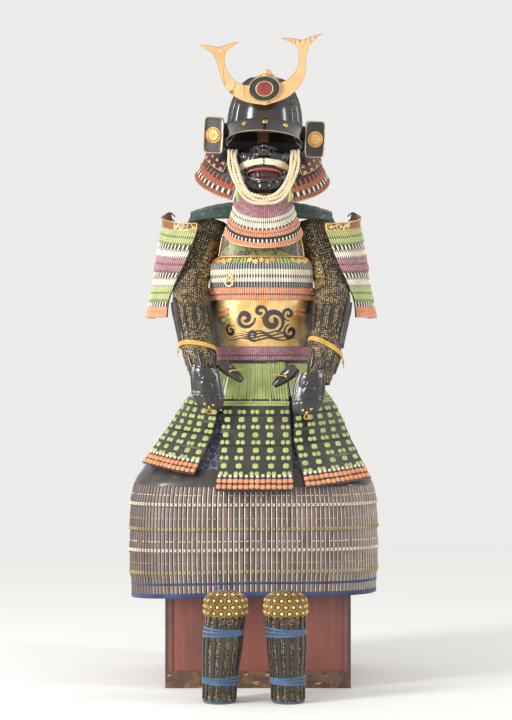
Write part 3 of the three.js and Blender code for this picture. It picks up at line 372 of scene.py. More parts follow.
class Look:
    """A material's node tree, built by small calls that give back sockets."""

    def __init__(self, name, **settings):
        self.material = bpy.data.materials.new(name)
        self.material.use_nodes = True
        self.tree = self.material.node_tree
        self.shader = self.tree.nodes["Principled BSDF"]
        for key, value in settings.items():
            self.set(key.replace("_", " "), value)

    def feed(self, socket, value):
        """Links another socket to this one, or gives it a plain value."""
        if isinstance(value, bpy.types.NodeSocket):
            self.tree.links.new(value, socket)
        else:
            socket.default_value = value

    def set(self, name, value):
        self.feed(self.shader.inputs[name], value)

    def node(self, kind, inputs, **settings):
        made = self.tree.nodes.new(kind)
        for key, value in settings.items():
            setattr(made, key, value)
        for key, value in inputs.items():
            self.feed(made.inputs[key], value)
        return made

    def math(self, operation, a, b=0.0, c=0.0):
        return self.node("ShaderNodeMath", {0: a, 1: b, 2: c}, operation=operation).outputs[0]

    def times(self, a, b):
        return self.math("MULTIPLY", a, b)

    def scaled(self, value, factor, plus):
        return self.math("MULTIPLY_ADD", value, factor, plus)

    def uv(self):
        coordinates = self.node("ShaderNodeTexCoord", {}).outputs["UV"]
        split = self.node("ShaderNodeSeparateXYZ", {0: coordinates})
        return split.outputs[0], split.outputs[1]

    def place(self, scale=(1, 1, 1)):
        """Object coordinates in metres, which are the armour's own, stretched by scale."""
        coordinates = self.node("ShaderNodeTexCoord", {}).outputs["Object"]
        return self.node("ShaderNodeMapping", {0: coordinates, "Scale": scale}).outputs[0]

    def noise(self, scale, detail=3.0, where=None):
        where = where or self.place()
        inputs = {"Vector": where, "Scale": scale, "Detail": detail, "Roughness": 0.6}
        return self.node("ShaderNodeTexNoise", inputs).outputs[0]

    def cells(self, scale, feature="F1", where=None):
        inputs = {"Vector": where or self.place(), "Scale": scale}
        return self.node("ShaderNodeTexVoronoi", inputs, feature=feature).outputs["Distance"]

    def step(self, value, low, high):
        """0 below low and 1 above high, with a ramp between."""
        inputs = {"Value": value, "From Min": low, "From Max": high}
        return self.node("ShaderNodeMapRange", inputs, clamp=True).outputs[0]

    def blend(self, factor, a, b):
        a = rgb(a) if isinstance(a, str) else a
        b = rgb(b) if isinstance(b, str) else b
        inputs = {0: factor, 6: a, 7: b}
        made = self.node("ShaderNodeMix", inputs, data_type="RGBA")
        return made.outputs[2]

    def ramp(self, factor, stops):
        """Steps of plain colour, or of grey, each from its own place on."""
        made = self.node("ShaderNodeValToRGB", {0: factor})
        made.color_ramp.interpolation = "CONSTANT"
        elements = made.color_ramp.elements
        while len(elements) > 1:
            elements.remove(elements[-1])
        for i, (place, colour) in enumerate(stops):
            element = elements[0] if i == 0 else elements.new(min(place, 1.0))
            element.position = min(place, 1.0)
            element.color = rgb(colour) if isinstance(colour, str) else (*[colour] * 3, 1)
        return made.outputs[0]

    def rough(self, scale, detail, spread, least):
        """Roughness that wanders by about spread above least."""
        self.set("Roughness", self.scaled(self.noise(scale, detail), spread, least))

    def bump(self, height, strength=0.5, distance=0.001):
        inputs = {"Height": height, "Strength": strength, "Distance": distance}
        self.set("Normal", self.node("ShaderNodeBump", inputs).outputs[0])

    def done(self):
        return self.material


def lacquer(name, dark="171311", warm="3a261c", gloss=0.16):
    """Old black lacquer: glossy, with brownish wear and fine dust."""
    look = Look(name, Coat_Weight=0.5, Coat_Roughness=0.18, Specular_IOR_Level=0.6)
    wear = look.step(look.noise(14, 5), 0.5, 0.75)
    look.set("Base Color", look.blend(wear, dark, warm))
    look.rough(40, 5, 0.22, gloss - 0.03)
    look.bump(look.noise(90, 3), 0.12, 0.0008)
    return look.done()


def gilt(name, light="f2cd8a", deep="b9783a", cracks=True, metal=0.55):
    """Gold leaf or gilding, worn warmer in places, with fine cracks where it is old."""
    look = Look(name, Metallic=metal, Specular_IOR_Level=0.5)
    tone = look.step(look.noise(11, 4), 0.35, 0.7)
    colour = look.blend(tone, light, deep)
    if cracks:
        lines = look.cells(34, "DISTANCE_TO_EDGE", look.place((1.0, 1.0, 0.28)))
        crack = look.step(lines, 0.035, 0.0)
        crack = look.times(crack, look.step(look.noise(7, 3), 0.45, 0.6))
        colour = look.blend(crack, colour, "5a3218")
        look.bump(crack, -0.4, 0.0006)
    look.set("Base Color", colour)
    look.rough(50, 4, 0.25, 0.27)
    return look.done()


def silk(name, light, deep, scale=700.0, roughness=0.72):
    """Flat braided silk: a fine chevron grain and uneven fading."""
    look = Look(name, Roughness=roughness, Sheen_Weight=0.35, Sheen_Roughness=0.4)
    fade = look.step(look.noise(28, 4), 0.35, 0.7)
    grain = look.noise(scale, 2)
    colour = look.blend(fade, light, deep)
    look.set("Base Color", look.blend(look.times(grain, 0.35), colour, "2a1d12"))
    look.bump(grain, 0.5, 0.0006)
    return look.done()


# Dark lacquer bared where there is no lace, also used as the painted shade at each lace's edges.
BARE_LACQUER_AND_SHADE = "1c1715"


def banded(name, bands, ribs, fade="e8dcc0"):
    """Laced lames. bands are (from v, colour, kind), where kind is lace, ticks, dots or plain.

    lace is close vertical braid, ticks are dark scales with narrow lace between them, dots are
    every other lace, and plain is bare lacquer. ribs is the number of laces across.
    """
    look = Look(name, Sheen_Weight=0.25, Sheen_Roughness=0.5)
    u, v = look.uv()
    colour = look.ramp(v, [(start, shade) for start, shade, _ in bands])
    amount = {"plain": 0.0, "ticks": 0.34, "dots": 0.67, "lace": 1.0}
    kind = look.ramp(v, [(start, amount[k]) for start, _, k in bands])
    turns = look.times(u, float(ribs))
    wave = look.math("ABSOLUTE", look.math("SINE", look.times(turns, math.pi)))
    which = look.math("FLOOR", turns)
    row = look.math("FLOOR", look.times(v, 3.0 * len(bands)))
    key = look.node("ShaderNodeCombineXYZ", {0: which, 1: row}).outputs[0]
    spread = look.node("ShaderNodeTexWhiteNoise", {0: key}).outputs[0]
    colour = look.blend(look.times(spread, 0.3), colour, fade)
    dirt = look.step(look.noise(24, 4), 0.42, 0.75)
    colour = look.blend(look.times(dirt, 0.3), colour, "4a3428")
    # Painted shade: each lace is painted darker towards both its edges, as the shade in the creases between
    # neighbouring laces.
    seam = look.step(wave, 0.1, 0.62)
    colour = look.blend(look.scaled(seam, 0.8, 0.2), BARE_LACQUER_AND_SHADE, colour)
    is_lace = look.step(kind, 0.8, 0.9)
    has_any = look.step(kind, 0.15, 0.2)
    is_dots = look.times(look.step(kind, 0.5, 0.55), look.step(kind, 0.8, 0.75))
    odd = look.math("LESS_THAN", look.math("FRACT", look.times(turns, 0.5)), 0.5)
    thin = look.step(wave, 0.72, 0.86)
    dotted = look.times(odd, look.step(wave, 0.3, 0.45))
    part = look.math("MAXIMUM", is_lace, look.times(is_dots, dotted))
    ticks = look.times(look.math("SUBTRACT", 1.0, look.step(kind, 0.5, 0.55)), thin)
    part = look.math("MAXIMUM", part, look.times(ticks, has_any))
    look.set("Base Color", look.blend(part, BARE_LACQUER_AND_SHADE, colour))
    look.set("Roughness", look.scaled(part, 0.5, 0.28))
    slant = look.math("PINGPONG", turns, 0.5)
    braid = look.math("SINE", look.scaled(v, 900.0, look.times(slant, 9.0)))
    height = look.scaled(braid, 0.12, look.times(wave, part))
    look.bump(height, 0.7, 0.0012)
    return look.done()


def band_relief(bands, ribs, rise=1.6, breaks=None, proud=0.0):
    """The same bands as a height: lace swells between its row's edges and dips between laces."""
    starts = [b[0] for b in bands] + [1.0]
    lift = lame_lift(breaks, proud) if breaks else (lambda v: 0)

    def height(u, v):
        total = lift(v) + np.zeros_like(v)
        wave = np.abs(np.sin(np.pi * u * ribs)) ** 0.6
        for (start, _, kind), end in zip(bands, starts[1:]):
            t = np.clip((v - start) / (end - start), 0, 1)
            dome = np.sqrt(np.maximum(0, 1 - (2 * t - 1) ** 4)) * ((v >= start) & (v <= end))
            if kind == "lace":
                total = total + rise * dome * (0.55 + 0.45 * wave)
            elif kind == "dots":
                odd = (np.floor(u * ribs) % 2 == 0) * wave
                total = total + rise * dome * (0.2 + 0.8 * odd)
            elif kind == "ticks":
                total = total + 0.3 * rise * dome * wave
        return total

    return height


BLACK = lacquer("black_lacquer", "1b1714", "40302a", 0.13)
# Partly a real dark cloth lining, partly painted shade: the inner faces of the bowl, visor and upper neck
# lames all get this near-black matte cloth so the hollow inside the helmet reads as shade.
LINING_AND_SHADE = silk("lining_and_painted_shade", "241c18", "191412", 300, 0.9)
MASK_BLACK = lacquer("mask_lacquer", "120f0e", "231916", 0.08)
GOLD = gilt("gilding")
CREST_GOLD = gilt("crest_gold", "f4c48c", "e0a468", True, 0.25)
BRASS = gilt("brass", "e6c67e", "a67c3c", False, 0.8)
PALE_RIM = gilt("pale_rim", "d8bf92", "8a6a44", False, 0.4)
GREEN_SILK = silk("green_silk", "c3d084", "9db163")
WHITE_SILK = silk("white_silk", "fbf3df", "dccba4")
CORAL_SILK = silk("coral_silk", "f5ab78", "df8352")
YELLOW_SILK = silk("yellow_silk", "f0c25e", "cf963a")
NAVY_SILK = silk("navy_silk", "4f7296", "33506e")
INDIGO_CORD = silk("indigo_cord", "3c4c7c", "272f52")
CREAM_CORD = silk("cream_cord", "fff1d4", "ecd6a6", 420)
GOLD_CORD = silk("gold_cord", "e0ae4c", "a87424", 500)
DARK_CORD = silk("dark_cord", "3c3730", "1f1b18", 500)


# ---------------------------------------------------------------- cuirass

TORSO_X, TORSO_Y = 9.0, 10.0
TORSO = smooth([
    (1180, 128, 92), (1146, 132, 98), (1079, 140, 110), (1006, 141, 116), (973, 141, 116),
    (915, 138, 113), (855, 131, 107), (812, 128, 105),
])
PLATE = 3.5
PROUD = 2.5


def torso(angle, z):
    half, deep = TORSO(z)
    return xyz(TORSO_X + half * np.sin(angle), TORSO_Y - deep * np.cos(angle), z)


def torso_band(top, bottom):
    start, end = math.radians(-88.4), math.radians(268.4)
    return lambda u, v: torso(mix(start, end, u), mix(top, bottom, v))


def torso_panel(outline, turn=0.0):
    edge = smooth(outline)
    top, bottom = outline[0][0], outline[-1][0]

    def base(u, v):
        z = mix(top, bottom, v)
        reach = np.arcsin(edge(z)[0] / TORSO(z)[0])
        return torso(math.radians(turn) + mix(-reach, reach, u), z)

    return base


def neck_dip(base, depth, width):
    """A panel whose top edge dips by depth at its middle, over about width to each side."""

    def dipped(u, v):
        p = base(u, v)
        p[..., 2] -= depth * peak(p[..., 0] - TORSO_X, width) * (1 - v) ** 2
        return p

    return dipped


def laced(name, base, heights, bands, ribs, rows, slot, thick=PLATE, rise=1.6):
    """A laced piece: one shell whose bands of lacing, given by height, stand out from it."""
    breaks = shares(heights)
    top, bottom = heights[0], heights[-1]
    by_share = [((top - z) / (top - bottom), c, k) for z, c, k in bands]
    look = banded(name + "_lacing", by_share, ribs)
    relief = band_relief(by_share, ribs, rise, breaks, PROUD)
    cuts = sorted(set(breaks) | {b[0] for b in by_share} | {0.0, 1.0})
    cover(name, base, ribs * 3, rows_with_breaks(rows, cuts), thick, look, slot, relief)


CORAL, PALE, MAUVE, GREEN = "f09468", "faf0d8", "b06c82", "b9c878"
CHEST_OUTLINE = [(1086, 100), (1078, 117), (1058, 126.5), (1006.4, 129)]
BREAST_OUTLINE = [(1152, 84), (1140, 97), (1086.4, 107)]
BACK_OUTLINE = [(1070, 126), (1006.4, 129)]
BACK_PLATE_OUTLINE = [(1178, 108), (1150, 122), (1070.4, 125)]
# Heights of the edges of the lames, and the bands of lacing as (from height, colour, kind).
UPPER_ROWS = [1006, 988, 973.4]
UPPER_BANDS = [(1006, CORAL, "lace"), (990, CORAL, "ticks"), (986, CORAL, "lace")]
WAIST_ROWS = [854.6, 832, 819, 812]
WAIST_BANDS = [(854.6, MAUVE, "lace"), (834, MAUVE, "ticks"), (831, MAUVE, "lace")]
WAIST_BANDS += [(820, MAUVE, "plain")]
CHEST_ROWS = [1086, 1056, 1036, 1019, 1006.4]
CHEST_BANDS = [(1086, "2d2c26", "plain"), (1083, "a5a565", "ticks"), (1068, "b9c0bd", "ticks")]
CHEST_BANDS += [(1052, PALE, "lace"), (1038, PALE, "ticks"), (1030, PALE, "lace")]
CHEST_BANDS += [(1019, "9aa0a6", "ticks")]
BACK_ROWS = [1070, 1050, 1028, 1006.4]
BACK_BANDS = [(1070, PALE, "lace"), (1054, PALE, "ticks"), (1048, CORAL, "lace")]
BACK_BANDS += [(1032, CORAL, "ticks"), (1026, CORAL, "lace"), (1011, CORAL, "ticks")]
LACES_ROUND, CHEST_LACES, BACK_LACES = 150, 46, 52


def cuirass():
    for name, rows, bands, count, slot in (
        ("upper", UPPER_ROWS, UPPER_BANDS, 12, "orange_lace"),
        ("waist", WAIST_ROWS, WAIST_BANDS, 10, "purple_lace"),
    ):
        band = torso_band(rows[0], rows[-1])
        laced(f"cuirass_{name}_rows", band, rows, bands, LACES_ROUND, count, slot)
    chest = torso_panel(CHEST_OUTLINE)
    laced("cuirass_chest_rows", chest, CHEST_ROWS, CHEST_BANDS, CHEST_LACES, 29, "white_lace")
    breast = neck_dip(torso_panel(BREAST_OUTLINE), 22, 48)
    cover("breast_plate", breast, 48, 20, PLATE, patterned_leather(), "patterned_leather")
    rims = Soup()
    for base in (chest, breast):
        path = [(0.004, 1), (0.004, 0.2), (0.01, 0.02), (0.99, 0.02), (0.996, 0.2), (0.996, 1)]
        rim(rims, base, path, PLATE + 0.8, 1.7, 120)
    rims.make("cuirass_rims", GOLD, slot="gilt_brass")
    back = torso_panel(BACK_OUTLINE, 180)
    laced("cuirass_back_rows", back, BACK_ROWS, BACK_BANDS, BACK_LACES, 22, "orange_lace")
    plate = neck_dip(torso_panel(BACK_PLATE_OUTLINE, 180), -10, 60)
    cover("back_plate", plate, 40, 24, PLATE, patterned_leather(), "patterned_leather")
    belly()
    chest_flowers(chest)
    green_laces(chest)
    coral_ties()
    green_knot()


@cache
def patterned_leather():
    """Stencilled leather: teal and olive grounds, gilt lines and small leaf shapes."""
    look = Look("stencilled_leather", Coat_Weight=0.15)
    patches = look.step(look.noise(26, 2), 0.5, 0.58)
    colour = look.blend(patches, "222c2e", "6f7a45")
    leaves = look.step(look.cells(130, "DISTANCE_TO_EDGE"), 0.05, 0.015)
    colour = look.blend(look.times(leaves, 0.7), colour, "c9a765")
    marks = look.step(look.cells(150), 0.2, 0.15)
    look.set("Base Color", look.blend(marks, colour, "a4683a"))
    look.rough(90, 4, 0.3, 0.35)
    look.bump(look.noise(300, 3), 0.3, 0.0006)
    return look.done()


BELLY_TOP, BELLY_BOTTOM = 972.9, 855.1


# Each scroll: centre across and up from the middle of the belly, radius, turns, and hand.
SCROLLS = [
    (-42, 12, 25, 1.35, 1), (-4, 30, 17, 1.2, -1), (26, 6, 30, 1.4, -1), (66, 24, 17, 1.25, 1),
    (-82, -18, 16, 1.2, -1), (-22, -30, 17, 1.1, 1), (74, -22, 20, 1.3, -1),
]
BELLY_THICK = PLATE + 1


def gilt_leather():
    """Gold over the front of the belly, worn to brown at its sides and back."""
    look = Look("gilt_leather", Coat_Weight=0.3, Coat_Roughness=0.25, Metallic=0.35)
    u, _ = look.uv()
    front = look.math("ABSOLUTE", look.math("SUBTRACT", u, 0.25))
    uneven = look.scaled(look.noise(16, 4), 0.09, front)
    gold = look.blend(look.step(look.noise(22, 5), 0.38, 0.66), "f2cd86", "c68f45")
    gold = look.blend(look.step(look.noise(9, 3), 0.52, 0.75), gold, "a8927a")
    look.set("Base Color", look.blend(look.step(uneven, 0.14, 0.2), gold, "2c1c13"))
    look.rough(50, 4, 0.25, 0.22)
    look.bump(look.noise(220, 4), 0.25, 0.0006)
    return look.done()


def belly():
    """Gilt leather over the belly, with cloud scrolls and mist inlaid in dark lacquer."""
    base = torso_band(BELLY_TOP, BELLY_BOTTOM)
    swell = lambda u, v: 0.9 * np.sin(np.pi * v)
    cover("cuirass_belly", base, 160, 24, BELLY_THICK, gilt_leather(), "gold_leather", swell)
    clouds, edges = Soup(), Soup()
    t = np.linspace(0, 1, 34)
    for x, z, radius, turns, hand_side in SCROLLS:
        angle = hand_side * t * turns * 2 * np.pi + x * 0.05
        reach = radius * (0.16 + 0.84 * t)
        spot = (x + reach * np.cos(angle), z + reach * np.sin(angle))
        points, outs = on_belly(*spot, BELLY_THICK + 0.95)
        width = 0.27 * radius * (0.35 + 0.65 * np.sin(np.pi * np.clip(t * 0.9 + 0.1, 0, 1)))
        clouds.sweep(points, outs, width, 0.45, sides=8)
        edges.sweep(points - outs * 0.2, outs, width + 0.9, 0.4, sides=8)
    t = np.linspace(-1, 1, 50)
    for k in range(4):
        z = -40 + 6 * k + 3 * np.sin(t * 9 + k * 1.3)
        points, outs = on_belly(t * (98 - 11 * k) + 3 * k, z, BELLY_THICK + 0.9)
        clouds.sweep(points, outs, 1.9 * (1 - t**2) + 0.3, 0.4, sides=6)
    dark = lacquer("scroll_lacquer", "2b2a2c", "4a4038", 0.2)
    clouds.make("belly_scrolls", dark, slot="black_lacquer")
    edges.make("belly_scroll_edges", GOLD, slot="gilt_brass")


def on_belly(x, up, lift):
    """Points on the belly, x mm round from its middle and up mm above its mid height."""
    u = 0.25 - 0.0005 + x / 850.0
    v = np.clip(0.5 - up / (BELLY_TOP - BELLY_BOTTOM), 0.01, 0.99)
    return along_edge(torso_band(BELLY_TOP, BELLY_BOTTOM), u, v, lift)


def chest_flowers(base):
    """Three gilt flower sprays along the chest's top row, each on a wavy sprig."""
    flowers, sprigs = Soup(), Soup()
    petal = pillow(6.0, 6.0, 1.6, 2, 8)
    t = np.linspace(-1, 1, 30)
    for middle, reach in ((0.13, 0.09), (0.5, 0.12), (0.87, 0.09)):
        for k in range(-2, 3):
            u, v = middle + reach * k / 2.4, 0.14 + 0.05 * (k % 2)
            centre, _ = along_edge(base, u, v, PLATE + 1.6)
            across, down, out = sides_of(base, u, v)
            for turn in full_turn(5):
                spot = centre + 4.2 * (np.cos(turn) * across + np.sin(turn) * down)
                flowers.stamp(petal, spot, across, down, out)
            flowers.stamp(petal, centre, across, down, out, 0.8)
        wave = 0.15 + 0.07 * np.sin(t * 11)
        points, outs = along_edge(base, middle + reach * 1.15 * t, wave, PLATE + 1.9)
        sprigs.sweep(points, outs, 1.3, 0.8, sides=6)
    flowers.make("chest_flowers", GOLD, slot="gilt_brass")
    sprig_gold = gilt("sprig_gold", "d0a85a", "8d6a35", False, 0.5)
    sprigs.make("chest_sprigs", sprig_gold, slot="gilt_brass")


def green_laces(base):
    """Two runs of five broad green laces between the sprays."""
    blocks, block = Soup(), pillow(6.4, 15, 2.0, 4, 12)
    for first in (0.225, 0.643):
        for k in range(5):
            blocks.put(block, base, first + 0.033 * k, 0.16, PLATE + 1.5)
    blocks.make("chest_green_laces", GREEN_SILK, slot="green_lace")


KNOT = pillow(11, 8, 4.5, 2.2, 12)


# Places round the upper rows, heights and sizes of the bunched ties.
BUNCHES = [(0.07, 1001, 1.0), (0.085, 992, 0.9), (0.06, 984, 0.8)]
BUNCHES += [(0.415, 1001, 1.0), (0.425, 991, 0.9), (0.43, 981, 0.8)]


def coral_ties():
    """Bunched coral ties on the upper rows, and four loose ends over the belly."""
    ties = Soup()
    top, bottom = UPPER_ROWS[0], UPPER_ROWS[-1]
    for u, z, size in BUNCHES:
        ties.put(KNOT, torso_band(top, bottom), u, (top - z) / (top - bottom), PLATE + 3, size)
    t = np.linspace(0, 1, 9)
    for side in (-1, 1):
        for up in (36, 24):
            points, outs = on_belly(side * (86 + 30 * t), up - 2 * t, PLATE + 2.8)
            ties.sweep(points, outs, 4.4 - 1.5 * t, 2.2, sides=8)
    ties.make("coral_ties", CORAL_SILK, slot="orange_lace")


def green_knot():
    """A small green knot at the left of the belly."""
    knots = Soup()
    centre, _ = on_belly(-92, 8, PLATE + 3)
    for dx, dz, size in ((-8, 0, 1.0), (6, 3, 0.9), (0, -5, 0.7)):
        spot = centre + np.array([dx, -1.0, dz])
        knots.stamp(KNOT, spot, (1, 0, 0), (0, 0, -1), (0, -1, 0), size)
    knots.make("green_knot", GREEN_SILK, slot="green_lace")


cuirass()

STRAP_PATH = [(0, -76, 1118), (0.25, -66, 1170), (0.42, -34, 1182.4), (0.62, 34, 1182.4)]
STRAP_PATH += [(0.8, 60, 1172), (1, 76, 1120)]
WING_INNER, WING_OUTER, WING_FRONT, WING_BACK = 48, 182, -72, 68
WING_CROWN, WING_FALL, WING_SAG = 1228, 26, 46


STRAP_X, STRAP_HALF, STRAP_ROUND = 68, 18, 128


def shoulder_strap(name, side):
    """A leather strap over the shoulder, from the breast plate to the back plate."""
    path = smooth(STRAP_PATH)

    def base(u, v):
        x = side * STRAP_X + mix(STRAP_HALF, -STRAP_HALF, u)
        y, z = path(v)
        round_by = math.sqrt(1 - (STRAP_X / STRAP_ROUND) ** 2)
        flat = np.sqrt(1 - (x / STRAP_ROUND) ** 2) / round_by
        return xyz(TORSO_X + x, TORSO_Y + y * flat, z)

    skin(
        f"strap_{name}", base, 8, 30, 5, patterned_leather(), slot="patterned_leather",
        replaces=(f"shoulder_strap_{name}",),
    )


def shoulder_wing(name, side):
    """A quilted cloth wing that falls from the neck over the shoulder, bound at its edge."""

    def base(u, v):
        out = u if side > 0 else 1 - u
        y = mix(WING_BACK, WING_FRONT, v) * (1 - 0.25 * out)
        across = (y - 2) / WING_FRONT
        x = mix(WING_INNER, WING_OUTER, out)
        z = WING_CROWN - WING_FALL * out**2 - WING_SAG * across**2
        return xyz(TORSO_X + side * x, TORSO_Y + y, z)

    quilt = lambda u, v: 1.3 * np.abs(np.sin(np.pi * u * 5) * np.sin(np.pi * v * 6)) ** 0.5
    made = skin(
        f"wing_{name}", base, 50, 60, 4, brocade(), quilt, slot="teal_cloth",
        replaces=(f"shoulder_wing_{name}",),
    )
    edge = Soup()
    path = [(0.01, 0.01), (0.99, 0.01), (0.99, 0.99), (0.01, 0.99), (0.01, 0.01)]
    rim(edge, base, path, 2.4, 2.6, 110)
    edge.make(f"wing_binding_{name}", DARK_CORD, slot="teal_cloth")


def shoulders():
    for name, side in SIDES:
        shoulder_strap(name, side)
        shoulder_wing(name, side)


@cache
def brocade():
    """Teal and green figured silk with touches of orange."""
    look = Look("brocade", Roughness=0.6, Sheen_Weight=0.3)
    patch = look.step(look.noise(13, 2), 0.44, 0.56)
    colour = look.blend(patch, "1f303f", "2f4a3c")
    figure = look.step(look.cells(60), 0.3, 0.22)
    colour = look.blend(figure, colour, "55714d")
    spot = look.step(look.noise(19, 1), 0.62, 0.68)
    look.set("Base Color", look.blend(spot, colour, "7c4a30"))
    look.bump(look.noise(500, 2), 0.5, 0.0006)
    return look.done()


shoulders()


# ---------------------------------------------------------------- tassets

TASSETS = {
    "front": (-5, -2, 190, 314, 0, 136, 164, 190),
    "front_right": (54, 26, 212, 298, 10, 84, 132, 180),
    "side_right": (108, 98, 112, 300, 0, 84, 112, 190),
    "back_right": (160, 148, 100, 302, 0, 80, 92, 190),
    "back_left": (200, 212, 100, 302, 0, 80, 92, 190),
    "side_left": (249, 261, 112, 300, 0, 82, 112, 190),
    "front_left": (300, 322, 212, 264, -12, 76, 122, 168),
}
TASSET_TOP, TASSET_THICK, TASSET_BOW, TASSET_CURL = 810.4, 4, 14, 1.25
TASSET_BREAKS = [0, 0.3, 0.42, 0.54, 0.66, 0.78, 0.9, 1]
TASSET_COLUMNS, LACES_END = (0.08, 0.29, 0.5, 0.71, 0.92), 0.29


def tasset_base(root, faces, flare, drop, skew, top, first, hem):
    hung = torso(math.radians(root), 812.0)

    def base(u, v):
        side = 2 * u - 1
        angle = np.radians(mix(root, faces, np.minimum(1, 1.6 * v)))
        width = np.where(v < 0.3, mix(top, first, v / 0.3), mix(first, hem, (v - 0.3) / 0.7))
        reach = flare * v**TASSET_CURL - TASSET_BOW * side * side
        x = hung[0] + np.sin(angle) * reach + np.cos(angle) * side * width / 2
        y = hung[1] - np.cos(angle) * reach + np.sin(angle) * side * width / 2
        return xyz(x, y, TASSET_TOP - drop * v + skew * side * v)

    return base


def tasset_lacing(soup, base, width, drop):
    """The vertical laces that a tasset hangs on, side by side with a few gaps."""
    count = round(width / 6.4)
    v = np.linspace(0.004, 0.305, 9)
    for i in range(count):
        sway = rng.normal(0, 0.0035) * np.sin(v * 9 + i)
        u = np.clip((i + 0.5) / count + sway, 0.01, 0.99)
        points, outs = along_edge(base, u, v, 2.6 + rng.uniform(-0.7, 0.7))
        points = np.concatenate([points[:1] + [0, 0, 5], points])
        outs = np.concatenate([outs[:1], outs])
        soup.sweep(points, outs, 3.3 + rng.uniform(-0.3, 0.2), 1.5, sides=6)
    chevron = pillow(width * 1.5 / count, 0.02 * drop, 1.6, 2.4, 8)
    for row in (0.318, 0.338):
        us = (np.arange(count) + 0.5) / count
        points, _ = along_edge(base, us, row, TASSET_THICK + 0.9)
        across, down, out = sides_of(base, us, np.full(count, row))
        tilt = unit(across + 0.5 * (1 if row < 0.33 else -1) * down)
        soup.stamp(chevron, points, tilt, np.cross(out, tilt) * -1, out)


def tasset_ties(soup, base):
    """Paired laces that hold the lames: a square on each lame and two lobes over its edge."""
    square, lobe = pillow(15, 14.5, 2.8, 3.6), pillow(11, 12.5, 3.2, 2.5, 10)
    for i, row in enumerate(TASSET_BREAKS[2:7]):
        for column in TASSET_COLUMNS:
            u = column + 0.008 * math.sin(5 * i + 9 * column)
            for du in (-0.034, 0.034):
                soup.put(lobe, base, u + du, row - 0.023, TASSET_THICK + PROUD * 0.8)
            if i < 4:
                soup.put(square, base, u, row + 0.036, TASSET_THICK + PROUD * 0.3)


def tasset_hem(white, coral, base, width):
    """A row of white cushions over two rows of coral ones along the last lame."""
    count = round(width / 13.2)
    us = evenly(count)
    for soup, row, shape in (
        (white, 0.893, pillow(8.6, 9, 3.2, 2.3, 10)), (coral, 0.932, pillow(12.4, 12.6, 3.4, 3.4)),
        (coral, 0.975, pillow(12.4, 13, 3.4, 3.4)),
    ):
        vs = np.full(count, row) + rng.normal(0, 0.0015, count)
        soup.put(shape, base, us, vs, TASSET_THICK + PROUD * 0.6, rng.uniform(0.94, 1.04, count))


SPLINT_BLACK = lacquer("splint_lacquer", "1b1614", "4a3a2e", 0.07)
TASSET_BLACK = lacquer("tasset_lacquer", "2b2521", "4c3f36", 0.22)


def tassets():
    plate_breaks = [(b - LACES_END) / (1 - LACES_END) for b in TASSET_BREAKS[1:]]
    plate_breaks[0] = 0.0
    lift = lame_lift(plate_breaks, PROUD)
    rows = rows_with_breaks(30, plate_breaks, 0.004)
    for name, sizes in TASSETS.items():
        base = tasset_base(*sizes)
        drop, top, first, hem = sizes[3], *sizes[5:]
        lames = lambda u, v, base=base: base(u, mix(LACES_END, 1.0, v))
        skin(
            f"tasset_{name}_lames", lames, 24, rows, TASSET_THICK, TASSET_BLACK, lambda u,
            v: lift(v), slot="black_lacquer", replaces=(f"tasset_{name}",),
        )
        green, white, coral = Soup(), Soup(), Soup()
        tasset_lacing(green, base, (top + first) / 2, drop)
        tasset_ties(green, base)
        tasset_hem(white, coral, base, hem)
        green.make(f"tasset_{name}_green", GREEN_SILK, slot="green_lace")
        white.make(f"tasset_{name}_white", WHITE_SILK, slot="white_lace")
        coral.make(f"tasset_{name}_coral", CORAL_SILK, slot="orange_lace")


tassets()


# ---------------------------------------------------------------- thigh guards

THIGH = smooth([
    (690, -120, 132, 90), (640, -148, 184, 120), (585, -190, 246, 146), (545, -222, 278, 164),
    (510, -245, 299, 156), (440, -252, 308, 150), (330, -254, 309, 146), (222, -256, 301, 142),
])
THIGH_X, THIGH_SEAM, THIGH_RISE = -11.0, -20.0, 14.0
THIGH_TURN, THIGH_BEND = math.radians(82), 1.6
THIGH_ROWS = [509.6, 453, 391, 337, 281, 224]
THIGH_THICK, THIGH_PROUD = 3.5, 3.0


def thigh(across, z):
    front, half, fold = THIGH(z)
    angle = across * THIGH_TURN
    x = THIGH_X + half * np.sin(angle) / math.sin(THIGH_TURN)
    return xyz(x, front + fold * (1 - np.cos(angle)) ** THIGH_BEND, z)


def across_at(x, z):
    half = float(THIGH(z)[1])
    return math.asin((x - THIGH_X) * math.sin(THIGH_TURN) / half) / THIGH_TURN


def thigh_base(side):
    top, hem = THIGH_ROWS[0], THIGH_ROWS[-1]
    split = across_at(THIGH_SEAM + side * 0.4, (top + hem) / 2)

    def base(u, v):
        across = mix(-1, split, u) if side < 0 else mix(split, 1, u)
        rise = THIGH_RISE * np.minimum(1, 1 + across)
        return thigh(across, mix(top, hem + rise, v))

    return base


